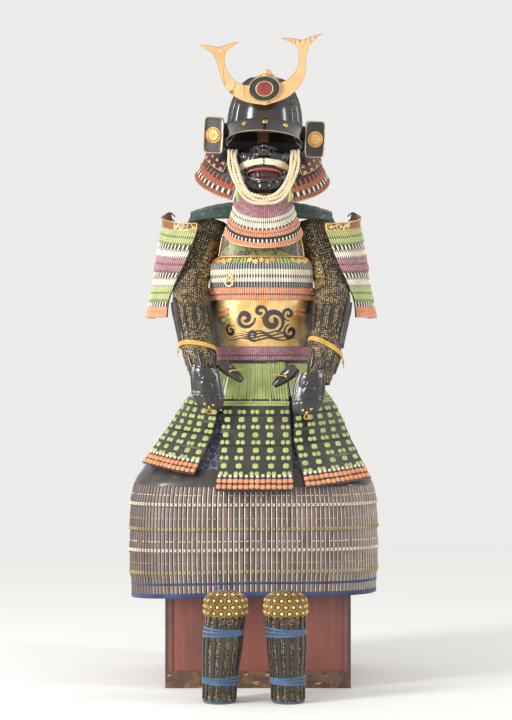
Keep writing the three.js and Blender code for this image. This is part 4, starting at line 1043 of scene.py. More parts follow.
def splint_look(plates):
    """Small mauve-brown plates side by side, with a pale edge along each and a dark gap."""
    look = Look(f"splints_{plates}", Coat_Weight=0.1)
    u, v = look.uv()
    turns = look.times(u, float(plates))
    where = look.math("FRACT", turns)
    which = look.math("FLOOR", turns)
    row = look.ramp(v, [(s, 0.1 * i) for i, s in enumerate(shares(THIGH_ROWS)[:-1])])
    key = look.node("ShaderNodeCombineXYZ", {0: which, 1: row}).outputs[0]
    spread = look.node("ShaderNodeTexWhiteNoise", {0: key}).outputs[0]
    colour = look.blend(spread, "57443f", "86695f")
    grey = look.times(look.step(look.noise(16, 3), 0.4, 0.7), 0.6)
    colour = look.blend(grey, colour, "7c7876")
    streak = look.noise(120, 3, look.place((1.0, 1.0, 0.08)))
    colour = look.blend(look.times(streak, 0.35), colour, "3b302c")
    pale = look.scaled(look.step(look.noise(60, 3), 0.3, 0.7), 0.5, 0.5)
    edge = look.times(look.math("LESS_THAN", where, 0.16), pale)
    colour = look.blend(edge, colour, "e6d9c8")
    gap = look.math("GREATER_THAN", where, 0.8)
    look.set("Base Color", look.blend(gap, colour, "1f1816"))
    look.rough(80, 3, 0.3, 0.4)
    look.bump(look.noise(200, 3), 0.3, 0.0006)
    return look.done()


def thigh_stitches(base, plates, white, olive):
    """Crossed stitches over each row's edge, and short dashes across most plates."""
    breaks = shares(THIGH_ROWS)
    bar, dash = pillow(2.6, 10.5, 2.0, 3, 6), pillow(6.4, 2.4, 1.5, 3, 6)
    us = (np.arange(plates) + 0.56) / plates
    for i, soup in enumerate((white, olive, white, olive)):
        vs = np.full(plates, breaks[i + 1] - 0.022)
        points, _ = along_edge(base, us, vs, THIGH_THICK + THIGH_PROUD * 0.9 + 0.4)
        across, down, out = sides_of(base, us, vs)
        for lean in (-0.75, 0.75):
            tilt = unit(down + lean * across)
            soup.stamp(bar, points, np.cross(out, tilt), tilt, out)
        keep = rng.random(plates) < 0.8
        row = mix(breaks[i], breaks[i + 1], 0.47)
        soup.put(dash, base, us[keep], row, THIGH_THICK + THIGH_PROUD * 0.47 + 0.5)


def thigh_guards():
    breaks = shares(THIGH_ROWS)
    lift = lame_lift(breaks, THIGH_PROUD)
    white, olive, navy = Soup(), Soup(), Soup()
    for name, side, plates in (("left", -1, 32), ("right", 1, 35)):
        base = thigh_base(side)

        def relief(u, v, plates=plates):
            where = np.mod(u * plates, 1.0)
            dome = np.sqrt(np.maximum(0, 1 - ((where - 0.5) / 0.5) ** 4))
            return lift(v) + 1.9 * dome

        skin(
            f"thigh_plates_{name}", base, plates * 6, rows_with_breaks(24, breaks, 0.004),
            THIGH_THICK - 1.2, splint_look(plates), relief, slot="splint_cloth",
            replaces=(f"thigh_guard_{name}",),
        )
        thigh_stitches(base, plates, white, olive)
        u = np.linspace(0.001, 0.999, plates * 6)
        wave = 0.8 * np.abs(np.sin(np.pi * u * plates)) ** 0.7
        for v, rise, width in ((mix(breaks[4], 1, 0.42), 1.3, 3.4), (0.985, 2.9, 6.0)):
            points, outs = along_edge(base, u, v, THIGH_THICK + rise + wave - 0.6)
            navy.sweep(points, outs, width, 1.6, sides=8)
    white.make("thigh_white_stitches", WHITE_SILK, slot="white_lace")
    olive.make("thigh_olive_stitches", silk("olive_silk", "c9b26a", "a08a44"), slot="gold_leather")
    navy.make("thigh_navy_bands", INDIGO_CORD, slot="indigo_cloth")
    thigh_cloth()
    leather_band()


CLOTH_TOP, CLOTH_HEM, BAND_TOP, BAND_HEM, BAND_FORWARD = 690.0, 512.0, 546.0, 506.0, 5.0


def figured_cloth():
    """Indigo cloth with pale round figures, veins and a few brown patches."""
    look = Look("indigo_cloth", Roughness=0.85, Sheen_Weight=0.2)
    figure = look.step(look.cells(42), 0.42, 0.3)
    colour = look.blend(figure, "3a4366", "8a8f9f")
    vein = look.step(look.cells(60, "DISTANCE_TO_EDGE"), 0.05, 0.01)
    colour = look.blend(vein, colour, "a39a8c")
    colour = look.blend(look.step(look.noise(18, 2), 0.55, 0.62), colour, "6e4a3c")
    look.set("Base Color", colour)
    look.bump(look.noise(600, 2), 0.5, 0.0005)
    return look.done()


def thigh_cloth():
    """The figured indigo cloth above the plates."""
    cloth = lambda u, v: thigh(mix(-1, 1, u), mix(CLOTH_TOP, CLOTH_HEM, v))

    def folds(u, v):
        return 1.1 * np.sin(u * 41 + 3 * v) * v * (1 - v) + 0.8 * np.sin(u * 23 + 1.7) * v

    made = skin(
        "thigh_cloth", cloth, 150, 30, 2.2, figured_cloth(), folds, slot="indigo_cloth",
        replaces=("thigh_guard_cloth",),
    )
    across = cloth(np.linspace(0, 1, 200), np.full(200, 0.6))
    down = cloth(np.full(100, 0.5), np.linspace(0, 1, 100))
    flat = [along(across), along(down)]


def leather_band():
    """The dark leather between the cloth and the plates."""
    forward = xyz(0, -BAND_FORWARD, 0)
    band = lambda u, v: thigh(mix(-1, 1, u), mix(BAND_TOP, BAND_HEM, v)) + forward
    leather = lacquer("band_leather", "2c2622", "4f4236", 0.45)
    rough = lambda u, v: 0.5 * np.sin(u * 60) * np.sin(v * 5)
    skin("thigh_leather_band", band, 120, 6, 1.8, leather, rough, slot="gold_leather")


thigh_guards()


# ---------------------------------------------------------------- sleeves and hands

SLEEVE = np.array(
    [
        (-139, 10, 1184, 45, 36), (-147, 5, 1145, 53, 38), (-170, -10, 1074, 47, 37),
        (-182, -38, 1014, 43, 36), (-182, -75, 966, 44, 36), (-175, -103, 926, 43, 34),
        (-167, -128, 880, 40, 31), (-158, -147, 833, 38, 29), (-149, -158, 795, 33, 26),
        (-143, -166, 764, 27, 19),
    ],
    float,
)


def sleeve_base(side):
    """The sleeve's inner face. u is 0 in front of the arm and 0.25 at its right."""
    centre = np.array([TORSO_X, TORSO_Y - 10, 0]) + SLEEVE[:, :3] * [-side, 1, 1]
    share = np.linspace(0, 1, len(SLEEVE))
    path = smooth([(t, *p, *s) for t, p, s in zip(share, centre, SLEEVE[:, 3:])])

    def base(u, v):
        x, y, z, wide, deep = path(v)
        ahead = np.stack(path(np.minimum(1, v + 0.03))[:3], axis=-1)
        behind = np.stack(path(np.maximum(0, v - 0.03))[:3], axis=-1)
        down = unit(ahead - behind)
        right = unit(np.array([1.0, 0, 0]) - down * down[..., :1])
        front = np.cross(down, right)
        angle = np.asarray(u) * 2 * np.pi
        side_step = right * (wide * np.sin(angle))[..., None]
        return xyz(x, y, z) + side_step + front * (deep * np.cos(angle))[..., None]

    return base


def mail_look(name, around, down):
    """Fine mail: rows of small gilt and brown rings over dark cloth, so many around and down, with painted
    glints in patches.
    """
    look = Look(name, Metallic=0.2, Specular_IOR_Level=0.5)
    u, v = look.uv()
    x, y = look.times(u, float(around)), look.times(v, float(down))
    where = look.node("ShaderNodeCombineXYZ", {0: x, 1: y}).outputs[0]
    inputs = {"Vector": where, "Scale": 1.0, "Randomness": 0.25}
    ring = look.node("ShaderNodeTexVoronoi", inputs, voronoi_dimensions="2D")
    dot = look.step(ring.outputs["Distance"], 0.44, 0.3)
    key = look.node("ShaderNodeTexWhiteNoise", {0: ring.outputs["Position"]}).outputs[0]
    # Painted glints: in noise patches the rings are painted paler gold, as glints of light on the metal;
    # ring by ring the tone also varies at random.
    patch = look.step(look.noise(24, 3), 0.35, 0.65)
    tone_and_glint = look.step(look.scaled(key, 0.7, look.times(patch, 0.4)), 0.3, 0.95)
    metal = look.blend(tone_and_glint, "5f4f3c", "cdb587")
    look.set("Base Color", look.blend(dot, "261d17", metal))
    look.set("Roughness", look.scaled(dot, -0.3, 0.7))
    look.bump(dot, 0.8, 0.0012)
    return look.done()


def splint(soup, base, u, v0, v1, half, lift, closed=True):
    """A long lacquered splint that lies along a limb, tapered to rounded ends."""
    v, t = np.linspace(v0, v1, 26), np.linspace(-1, 1, 26)
    points, outs = along_edge(base, u, v, lift, closed)
    width = half * np.sqrt(np.maximum(0.03, 1 - np.abs(t) ** 7))
    soup.sweep(points, outs, width, 2.9, sides=12)


SLEEVE_THICK = 2.5


def sleeve_mail(name, base):
    """The cloth of the sleeve under its mail, which wrinkles below the shoulder."""

    def wrinkle(u, v):
        return 0.7 * np.sin(v * 130 + 4 * np.sin(u * 2 * np.pi)) * smoothstep(v, 0.2, 0.5)

    made = skin(
        f"sleeve_{name}_mail", base, 44, 84, SLEEVE_THICK - 0.3,
        mail_look(f"sleeve_{name}_rings", 52, 96), wrinkle, closed=True, slot="mail",
        replaces=(f"sleeve_{name}",),
    )
    round_it = base(np.linspace(0, 1, 80), np.full(80, 0.45))
    down = np.stack([base(np.array(0.5), np.array(t)) for t in np.linspace(0, 1, 60)])
    flat = [along(round_it), along(down)]


def sleeve_splints(name, side, base):
    """Short splints over the elbow, three broad ones outside it and four at the forearm."""
    plates, lift = Soup(), SLEEVE_THICK + 1.0
    outer = 0.75 if side < 0 else 0.25
    for k in range(-3, 4):
        v = 0.5 + 0.02 * (k % 2)
        splint(plates, base, (0.012 + 0.085 * k) % 1.0, v, 0.66, 4.2, SLEEVE_THICK + 1.1)
    for k in range(-1, 2):
        splint(plates, base, outer + 0.085 * k, 0.44, 0.72, 9.0, lift)
    for k in range(-1, 3):
        splint(plates, base, (0.12 * k) % 1.0, 0.78, 0.9, 5.0, lift)
    plates.make(f"sleeve_{name}_splints", SPLINT_BLACK, slot="black_lacquer")


def sleeve_brocade(name, side, base):
    """A strip of gilt brocade down the inner side of the upper arm."""
    inner = 0.12 if side < 0 else 0.88
    strip = lambda u, v: base(mix(inner - 0.055, inner + 0.055, u), mix(0.14, 0.4, v))
    strip_out = lambda u, v: strip(u, v) + sides_of(strip, u, v, step=0.01)[2] * 4.2
    skin(f"sleeve_{name}_brocade", strip_out, 10, 24, 1.2, gilt_brocade(), slot="gold_leather")


def sleeves():
    for name, side in SIDES:
        base = sleeve_base(side)
        sleeve_mail(name, base)
        sleeve_splints(name, side, base)
        sleeve_brocade(name, side, base)
        wrist_tie(name, side, base)
        hand(name, side)


@cache
def gilt_brocade():
    """Dull gold brocade with a small dark figure."""
    look = Look("gilt_brocade", Metallic=0.3, Roughness=0.5)
    figure = look.step(look.cells(170), 0.3, 0.5)
    colour = look.blend(figure, "c2a468", "4d4530")
    look.set("Base Color", look.blend(look.step(look.noise(40, 2), 0.5, 0.65), colour, "8f6a38"))
    look.bump(look.noise(400, 2), 0.5, 0.0006)
    return look.done()


WRIST = 0.735  # the share of the sleeve's length where its tie goes round
def wrist_tie(name, side, base):
    """The yellow cord round the forearm, with its two short ends."""
    cord = Soup()
    u = np.arange(60) / 60
    slope = 0.03 * np.sin(2 * np.pi * u)
    for offset in (-0.006, 0.006):
        v = WRIST + offset + slope
        points, outs = along_edge(base, u, v, 5.2 + 1.2 * np.abs(np.sin(u * 9)), True)
        cord.sweep(points, outs, 3.0, 2.0, sides=8, closed=True)
    out_u = 0.78 if side < 0 else 0.22
    start, out = along_edge(base, out_u, WRIST + 0.03 * side, 7.0, True)
    t = np.linspace(0, 1, 8)[:, None]
    for spread in (-0.5, 0.7):
        drop = np.array([side * (2.5 + 2 * spread), -2.0 - 4 * spread, -26.0 - 8 * spread])
        cord.sweep(start + t * drop + out * 2.0 * np.sin(t * np.pi), out, 1.9, 1.3, sides=6)
    cord.make(f"wrist_tie_{name}", YELLOW_SILK, slot="gold_leather")


HAND_PLACES = {"left": (-133, 802), "right": (133, 789)}
HAND_OUTLINE = [(0, 27), (0.15, 35), (0.62, 38), (0.72, 37), (0.9, 31), (1, 20)]
HAND_Y, HAND_LENGTH, HAND_LEAN, HAND_DOME, HAND_TILT, HAND_CURL = -192, 102, 12, 17, 6, 8
THUMB_OUTLINE = [(0, 8), (0.2, 15), (0.6, 12), (0.85, 8), (1, 4)]


HAND_BOSSES = [(-13, -10, 11), (14, -12, 10), (0, 12, 13)]  # across, down and radius
HAND_THICK, THUMB_THICK, THUMB_DOME = 3.0, 2.5, 8


def hand_relief(u, v):
    """A raised edge, three embossed rounds, a bar over the knuckles and four fingers."""
    s, t = (2 * u - 1) * 37, (v - 0.33) * HAND_LENGTH
    rise = 1.6 * smoothstep(np.abs(2 * u - 1), 0.8, 0.92) + 1.2 * smoothstep(v, 0.07, 0.02)
    for across, down, radius in HAND_BOSSES:
        away = np.hypot(s - across, t - down) / radius
        rise = rise + 1.7 * peak(away - 0.8, 0.22) + 1.3 * peak(away, 0.35)
    rise = rise + 2.4 * peak(v - 0.66, 0.018)
    fingers = np.abs(np.sin(np.pi * u * 4)) ** 0.6 * smoothstep(v, 0.68, 0.72)
    return rise + 1.8 * fingers


def thumb_relief(u, v):
    """Two swellings, one to each joint of the thumb."""
    near, far = np.clip(v / 0.5, 0, 1), np.clip((v - 0.5) / 0.5, 0, 1)
    across = np.sin(np.pi * u)
    return 3.2 * np.sin(np.pi * near) ** 2 * across + 2.2 * np.sin(np.pi * far) ** 2 * across


def thumb_base(x, side, top):
    start = np.array([x - side * 36.0, -184.0, top + 12.0])
    end = np.array([x - side * 94.0, -178.0, top - 34.0])
    sideways = unit(np.cross(unit(end - start), [0, -1.0, 0]))
    outline = smooth(THUMB_OUTLINE)

    def base(u, v):
        s, t = 1 - 2 * np.asarray(u)[..., None], np.asarray(v)[..., None]
        half = outline(v)[0][..., None]
        out = np.array([0, -1.0, 0]) * THUMB_DOME * (1 - s * s)
        return start + (end - start) * t + sideways * s * half + out

    return base


def hand(name, side):
    """The hand plate and thumb plate, with their studs and two loops of cord."""
    x, top = HAND_PLACES[name]
    outline = smooth(HAND_OUTLINE)

    def base(u, v):
        s = 2 * u - 1
        y = HAND_Y - HAND_DOME * (1 - s * s) + HAND_CURL * v * v
        z = top - HAND_LENGTH * v + side * HAND_TILT * s
        return xyz(x - side * HAND_LEAN * v + s * outline(v)[0], y, z)

    thumb = thumb_base(x, side, top)
    skin(
        f"hand_{name}_plate", base, 54, 72, HAND_THICK,
        lacquer("hand_lacquer", "1d1815", "3d2f27", 0.2), hand_relief, slot="black_lacquer",
        replaces=(f"hand_guard_{name}",),
    )
    skin(
        f"thumb_{name}_plate", thumb, 24, 40, THUMB_THICK, BLACK, thumb_relief,
        slot="black_lacquer", replaces=(f"thumb_guard_{name}",),
    )
    studs, cords = Soup(), Soup()
    for surface, u, v in (
        (base, 0.36, 0.9), (base, 0.64, 0.9), (base, 0.5, 0.97), (thumb, 0.5, 0.47),
    ):
        studs.put(pillow(7, 7, 4.0, 2, 12), surface, u, v, 5.0)
    studs.make(f"hand_{name}_studs", BRASS, slot="gilt_brass")
    tip, _ = along_edge(base, 0.5, 0.995, 4.0)
    t = np.linspace(0, 1, 14)
    swing = xyz(6 * np.sin(t * 2 * np.pi), -3 * t, -14 * np.sin(t * np.pi))
    cords.sweep(tip + swing, (0, -1, 0), 1.8, sides=6)
    thumb_end, _ = along_edge(thumb, 0.5, 0.45, 6.0)
    t = np.linspace(0, 1, 12)
    strap = xyz(-side * 34.0 * t, -3 * np.sin(t * np.pi), 4.0 * t)
    cords.sweep(thumb_end + strap, (0, -1, 0), 1.5, sides=6)
    cords.make(f"hand_{name}_cords", GOLD_CORD, slot="gilt_brass")


sleeves()


# ---------------------------------------------------------------- shoulder guards

SODE = smooth([
    (1194, -158, 91, 80, 0, 128), (1074, -171, 100, 86, 15.5, 128), (1014, -183, 96, 92, 24, 126),
    (968, -194, 94, 92, 27, 125), (928, -203, 92, 92, 24, 124),
])
SODE_Y, SODE_SLOPE, SODE_CROWN, SODE_LEAN, SODE_SEAM, SODE_THICK = 15, 0.25, 24, 7, 1.6, 4
SODE_ROWS = [1168, 1130, 1091, 1051, 1011, 970, 929]


def sode(side, share, z):
    x, wide, deep, start, end = SODE(z)
    angle = np.radians(mix(start, end, share))
    y = SODE_Y - deep * np.cos(angle)
    slope = SODE_SLOPE * np.clip((z - 980) / 190, 0, 1.15)
    return xyz(TORSO_X - side * (x - wide * np.sin(angle)), y, z + slope * (y - SODE_Y))


SODE_LACES = 36
# Bands within one row, as (from share, kind).
CLOSE_ROW = [(0, "lace"), (0.36, "ticks"), (0.5, "lace"), (0.86, "ticks")]
OPEN_ROW = [(0, "dots")] + CLOSE_ROW[1:]
LAST_ROW = [(0, "dots"), (0.33, "lace"), (0.64, "lace")]
SODE_COLOURS = [GREEN, PALE, MAUVE, PALE, GREEN, CORAL]


def sode_bands():
    """The bands of all six rows. The last row is pale above its coral."""
    bands = []
    for top, bottom, colour in zip(SODE_ROWS, SODE_ROWS[1:], SODE_COLOURS):
        kinds = {PALE: OPEN_ROW, CORAL: LAST_ROW}.get(colour, CLOSE_ROW)
        for at, kind in kinds:
            shade = PALE if (colour == CORAL and at == 0) else colour
            bands.append((mix(top, bottom, at), shade, kind))
    return bands


def crown_cords(name, side, crown):
    """Three dark cords that arch from the crown plate in towards the shoulder."""
    cords = Soup()
    t = np.linspace(0, 1, 14)
    for u in (0.12, 0.5, 0.88):
        start, _ = along_edge(crown, u, 0.1, SODE_THICK)
        twisted(cords, start + xyz(-side * 26 * t, 0, 9 * np.sin(t * np.pi) - 4 * t), 1.9)
    cords.make(f"shoulder_cords_{name}", DARK_CORD, slot="teal_cloth")


def shoulder_guards():
    top, bottom = SODE_ROWS[0], SODE_ROWS[-1]
    seam = top + SODE_SEAM
    for name, side in SIDES:

        def lames(u, v, side=side):
            return sode(side, u if side > 0 else 1 - u, mix(top, bottom, v))

        def crown(u, v, side=side):
            p = sode(side, u if side > 0 else 1 - u, mix(seam + SODE_CROWN, seam, v))
            p[..., 0] += side * SODE_LEAN * (1 - v)
            return p

        laced(
            f"shoulder_lames_{name}", lames, SODE_ROWS, sode_bands(), SODE_LACES, 55, "green_lace",
            SODE_THICK, 2.0,
        )
        cover(f"shoulder_crown_{name}", crown, 60, 8, SODE_THICK, crown_leather(), "gilt_brass")
        rims = Soup()
        loop = [(0.003, 0.04), (0.997, 0.04), (0.997, 0.96), (0.003, 0.96), (0.003, 0.04)]
        rim(rims, crown, loop, SODE_THICK + 0.4, 1.6, 140)
        rims.make(f"shoulder_crown_{name}_rim", GOLD, slot="gilt_brass")
        crown_cords(name, side, crown)


BROWN_FROM = -0.0485  # metres, where the crown's gilt leather gives way to brown
@cache
def crown_leather():
    """Gilt figured leather with a plain brown patch towards the back."""
    look = Look("crown_leather", Coat_Weight=0.2)
    figure = look.step(look.cells(80, "DISTANCE_TO_EDGE"), 0.12, 0.03)
    colour = look.blend(figure, "5c4a26", "e3c483")
    spots = look.step(look.cells(150), 0.3, 0.2)
    colour = look.blend(spots, colour, "efd69a")
    y = look.node("ShaderNodeSeparateXYZ", {0: look.place()}).outputs[1]
    brown = look.step(y, BROWN_FROM, BROWN_FROM + 0.001)
    look.set("Base Color", look.blend(brown, colour, "8a5530"))
    look.rough(60, 3, 0.3, 0.3)
    look.bump(figure, 0.5, 0.0007)
    return look.done()


shoulder_guards()


# ---------------------------------------------------------------- helmet


def frame_matrix(place, turn_x, turn_y, turn_z=0.0):
    """A frame moved to place and turned about its own x, then y, then z, in degrees."""
    moved = Matrix.Translation(place) @ Matrix.Rotation(math.radians(turn_x), 4, "X")
    moved = moved @ Matrix.Rotation(math.radians(turn_y), 4, "Y")
    return moved @ Matrix.Rotation(math.radians(turn_z), 4, "Z")


HELMET_FRAME = frame_matrix((17, -4, 1418), 9, 2.5)
CREST_FRAME = HELMET_FRAME @ frame_matrix((0, -132, 68), 4, -7.5)


def placed(place, points):
    """Points given in a frame of their own, brought into the armour's frame."""
    m = np.array(place)
    return points @ m[:3, :3].T + m[:3, 3]


def moved(place, base):
    """A surface given in a frame of its own, brought into the armour's frame."""
    return lambda u, v: placed(place, base(u, v))


def direction(place, vector):
    return np.array(place)[:3, :3] @ np.array(vector, float)


BOWL_HALF, BOWL_DEEP, BOWL_RISE, BOWL_POWER, BOWL_THICK = 93, 108, 138, 2.25, 3
BOWL_HOLE, BOWL_BAND, DOME_SHARE = 0.13, 34, 0.84
BOWL_TOP = (1 - BOWL_HOLE**BOWL_POWER) ** (1 / BOWL_POWER)


def bowl_point(angle, share):
    wide = np.maximum(0, 1 - np.asarray(share, float) ** BOWL_POWER) ** (1 / BOWL_POWER)
    x, y = BOWL_HALF * wide * np.sin(angle), -BOWL_DEEP * wide * np.cos(angle)
    return xyz(x, y, BOWL_RISE * share)


def bowl(u, v):
    angle = np.asarray(u) * 2 * np.pi
    share = BOWL_TOP * np.cos(np.clip(v / DOME_SHARE, 0, 1) * np.pi / 2)
    p = bowl_point(angle, np.maximum(0, share))
    from_brow = np.abs(np.mod(angle + np.pi, 2 * np.pi) - np.pi)
    drop = smoothstep(from_brow, math.radians(40), math.radians(78)) * BOWL_BAND + 2
    p[..., 2] -= drop * np.maximum(0, v - DOME_SHARE) / (1 - DOME_SHARE)
    return p


BOWL_RIBS, SMOOTH_FRONT = 32, 42  # ribs, and degrees to each side of the front without rivets


def bowl_relief(u, v):
    """Standing ribs over the sides and back, and a brim line. The front plate is smooth."""
    from_front = np.abs(np.mod(u + 0.5, 1.0) - 0.5) * 2 * np.pi
    there = smoothstep(from_front, math.radians(38), math.radians(52)) * smoothstep(v, 0.14, 0.22)
    there = there * (1 - smoothstep(v, 0.8, 0.85))
    ridge = np.exp(-((np.mod(u * BOWL_RIBS, 1.0) - 0.5) ** 2) / 0.012)
    return 2.6 * ridge * there + 1.5 * peak(v - 0.845, 0.012) * there


def helmet_rivets(surface):
    """A line of small rivets down the bowl at each gap between ribs, but not on the front."""
    rivets, rivet = Soup(), pillow(3.4, 3.4, 1.5, 2, 8)
    vs = np.linspace(0.26, 0.78, 8)
    for k in range(BOWL_RIBS):
        u = k / BOWL_RIBS
        if min(u, 1 - u) * 360 >= SMOOTH_FRONT:
            rivets.put(rivet, surface, np.full(8, u), vs, BOWL_THICK, closed=True)
    rivets.make("helmet_rivets", BLACK, slot="black_lacquer")


def crown_fitting():
    """The scalloped gilt ring round the hole in the crown, and the cord through it."""
    crown, cord = Soup(), Soup()
    profile = [(7, 0), (20, -2.5), (20, -0.5), (17, 1.5), (13, 2.6), (12, 5), (11.6, 9), (7, 9)]
    lathe(crown, profile, HELMET_FRAME @ Matrix.Translation((0, 0, 143)), 48, 16)
    crown.make("crown_fitting_made", GOLD, slot="gilt_brass", replaces=("crown_fitting",))
    t = np.linspace(0, 1, 12)
    for x, reach in ((-4, 30), (4, 26)):
        line = xyz(x + 2 * np.sin(t * 4), 6 + reach * t, 151.5 + 5 * np.sin(np.pi * t) - 9 * t * t)
        twisted(cord, placed(HELMET_FRAME, line), 1.8)
    cord.make("crown_cord", GOLD_CORD, slot="gilt_brass")


def helmet():
    surface = moved(HELMET_FRAME, bowl)
    look = lacquer("helmet_lacquer", "1a1513", "38261d", 0.1)
    cover(
        "helmet_bowl", surface, 192, 50, BOWL_THICK, look, "black_lacquer", bowl_relief,
        closed=True, inside=LINING_AND_SHADE,
    )
    helmet_rivets(surface)
    crown_fitting()
    rims = Soup()
    visor_made(rims)
    neck_guard(rims)
    for name, side in SIDES:
        turn_back(name, side)


def lathe(soup, profile, place, steps, petals):
    """A turned ring about the frame's z, scalloped round its widest edge."""
    widest = max(r for r, _ in profile)
    turn = full_turn(steps)
    lobes = 1 - 0.1 * np.abs(np.cos(turn * petals / 2))
    rings = []
    for r, z in profile:
        reach = r * (lobes if r > 0.8 * widest else 1)
        rings.append(xyz(reach * np.cos(turn), reach * np.sin(turn), z))
    faces = []
    for k in range(len(profile)):
        low, high = k * steps, (k + 1) % len(profile) * steps
        for i in range(steps):
            j = (i + 1) % steps
            faces.append([low + i, low + j, high + j, high + i])
    soup.add(placed(place, np.concatenate(rings)), faces)


VISOR_REACH, VISOR_THICK, VISOR_OUT = 72, 3, 38


def visor(u, v):
    side = 2 * np.asarray(u, float) - 1
    angle = np.radians(side * VISOR_REACH)
    top, edge = mix(34, 10, side * side), mix(2, -44, side * side)
    on_bowl = bowl_point(angle, top / BOWL_RISE)[..., :2]
    reach = np.linalg.norm(on_bowl, axis=-1)
    flush = np.linalg.norm(bowl_point(angle, np.zeros_like(angle)), axis=-1) - reach
    forward = VISOR_OUT * (1 - side * side) * v**1.3
    grow = BOWL_THICK + 0.8 + forward + flush * np.minimum(1, 2 * v)
    flat = on_bowl * (1 + grow / reach)[..., None]
    return xyz(flat[..., 0], flat[..., 1], mix(top, edge, v))


NECK_LAMES = [(12, -30, 100, 124, 98, 0), (-26, -74, 116, 148, 138, 50)]
NECK_LAMES += [(-70, -128, 139, 173, 154, 56)]
NECK_THICK = 3.5


def neck_lame(top, bottom, top_half, bottom_half, ends, dip):
    def base(u, v):
        angle = np.radians(180 + mix(-ends, ends, u))
        half = mix(top_half, bottom_half, np.asarray(v, float) ** 0.9)
        forward = np.cos(angle)
        depth = np.where(forward < 0, half + 10, half * 0.74)
        z = mix(top, bottom, v) - dip * np.maximum(0, forward)
        return xyz(half * np.sin(angle), 6 - depth * forward, z)

    return base


def visor_made(rims):
    shade = moved(HELMET_FRAME, visor)
    look = lacquer("visor_lacquer", "1b1614", "3a2a20", 0.14)
    cover("visor", shade, 72, 24, VISOR_THICK, look, "black_lacquer", inside=LINING_AND_SHADE)
    rim(rims, shade, [(0.01, 0.98), (0.99, 0.98)], VISOR_THICK + 0.2, 1.0, 90)
    rivets, rivet = Soup(), pillow(14, 14, 4.6, 2, 14)
    for u, v in ((0.3, 0.4), (0.5, 0.34), (0.7, 0.4)):
        rivets.put(rivet, shade, u, v, VISOR_THICK)
    rivets.make("visor_rivets", BRASS, slot="gilt_brass")


NECK_LACES, NECK_TIES = 96, 26
NECK_BANDS = [(0.0, "3a2a22", "plain"), (0.16, "a4502f", "dots"), (0.38, "b5583a", "lace")]
NECK_BANDS += [(0.6, PALE, "dots"), (0.8, "a84c34", "lace")]


def black_lame(name, base, ties):
    """An upper lame of the neck guard: black with a raised lip and pairs of coral ties."""
    lip = lambda u, v: 1.6 * smoothstep(v, 0.86, 0.97)
    cover(name, base, 110, 16, NECK_THICK, BLACK, "black_lacquer", lip, inside=LINING_AND_SHADE)
    tie = pillow(6.2, 9.5, 2.4, 2.6, 10)
    for row in (0.62, 0.9):
        for du in (-0.004, 0.004):
            ties.put(tie, base, evenly(NECK_TIES) + du, row, NECK_THICK + 1, 0.8)


def laced_lame(name, base):
    """The lowest lame of the neck guard, laced all over."""
    look = banded(name + "_lacing", NECK_BANDS, NECK_LACES, "d98a5c")
    rows = rows_with_breaks(18, [b[0] for b in NECK_BANDS] + [1.0], 0.01)
    relief = band_relief(NECK_BANDS, NECK_LACES, 2.0)
    cover(name, base, NECK_LACES * 3, rows, NECK_THICK, look, "orange_lace", relief)


def neck_guard(rims):
    ties = Soup()
    for i, sizes in enumerate(NECK_LAMES):
        base = moved(HELMET_FRAME, neck_lame(*sizes))
        name = f"neck_guard_{i + 1}"
        if i < 2:
            black_lame(name, base, ties)
        else:
            laced_lame(name, base)
        edge = [(0.002, 0.02), (0.002, 0.98), (0.5, 0.985), (0.998, 0.98), (0.998, 0.02)]
        rim(rims, base, edge, NECK_THICK + 0.6, 1.3, 160)
    rims.make("helmet_rims", PALE_RIM, slot="gilt_brass")
    ties.make("neck_guard_ties", CORAL_SILK, slot="orange_lace")


ROUNDEL = gilt("roundel_ground", "c79a50", "8c5f28", True, 0.5)


TURN_BACK_WIDE, TURN_BACK_HIGH, TURN_BACK_POWER, TURN_BACK_THICK = 54.0, 94.0, 7, 4.0


def turn_back_base(u, v):
    """A flat plate with rounded corners, across x and down z."""
    s, t = 2 * np.asarray(u, float) - 1, 2 * np.asarray(v, float) - 1
    grow = (np.abs(s) ** TURN_BACK_POWER + np.abs(t) ** TURN_BACK_POWER) ** (1 / TURN_BACK_POWER)
    square = np.maximum(np.maximum(np.abs(s), np.abs(t)), 1e-6)
    k = square / np.maximum(grow, 1e-6)
    return xyz(s * k * TURN_BACK_WIDE / 2, 0.0, -t * k * TURN_BACK_HIGH / 2)


def turn_back(name, side):
    """A turned-back end of the neck guard: black, gold rimmed, with a plain gilt rosette."""
    place = HELMET_FRAME @ frame_matrix((side * 129, -60, -16), 0, 0, side * 20)
    surface, front = moved(place, turn_back_base), direction(place, (0, -1, 0))
    dish = lambda u, v: -0.9 * (1 - np.maximum(np.abs(2 * u - 1), np.abs(2 * v - 1)) ** 8)
    node = f"turn_back_{name}"
    cover(node, surface, 24, 36, TURN_BACK_THICK, BLACK, "black_lacquer", dish)
    edge, t = Soup(), full_turn(96)
    c, s = np.cos(t), np.sin(t)
    k = (np.abs(c) ** TURN_BACK_POWER + np.abs(s) ** TURN_BACK_POWER) ** (-1 / TURN_BACK_POWER)
    wide, high = TURN_BACK_WIDE / 2 - 1.4, TURN_BACK_HIGH / 2 - 1.4
    loop = placed(place, xyz(c * k * wide, -4.0, s * k * high))
    edge.sweep(loop, front, 1.2, 1.0, sides=8, closed=True)
    edge.make(node + "_rim", PALE_RIM, slot="gilt_brass")
    rosette(node, place, front)


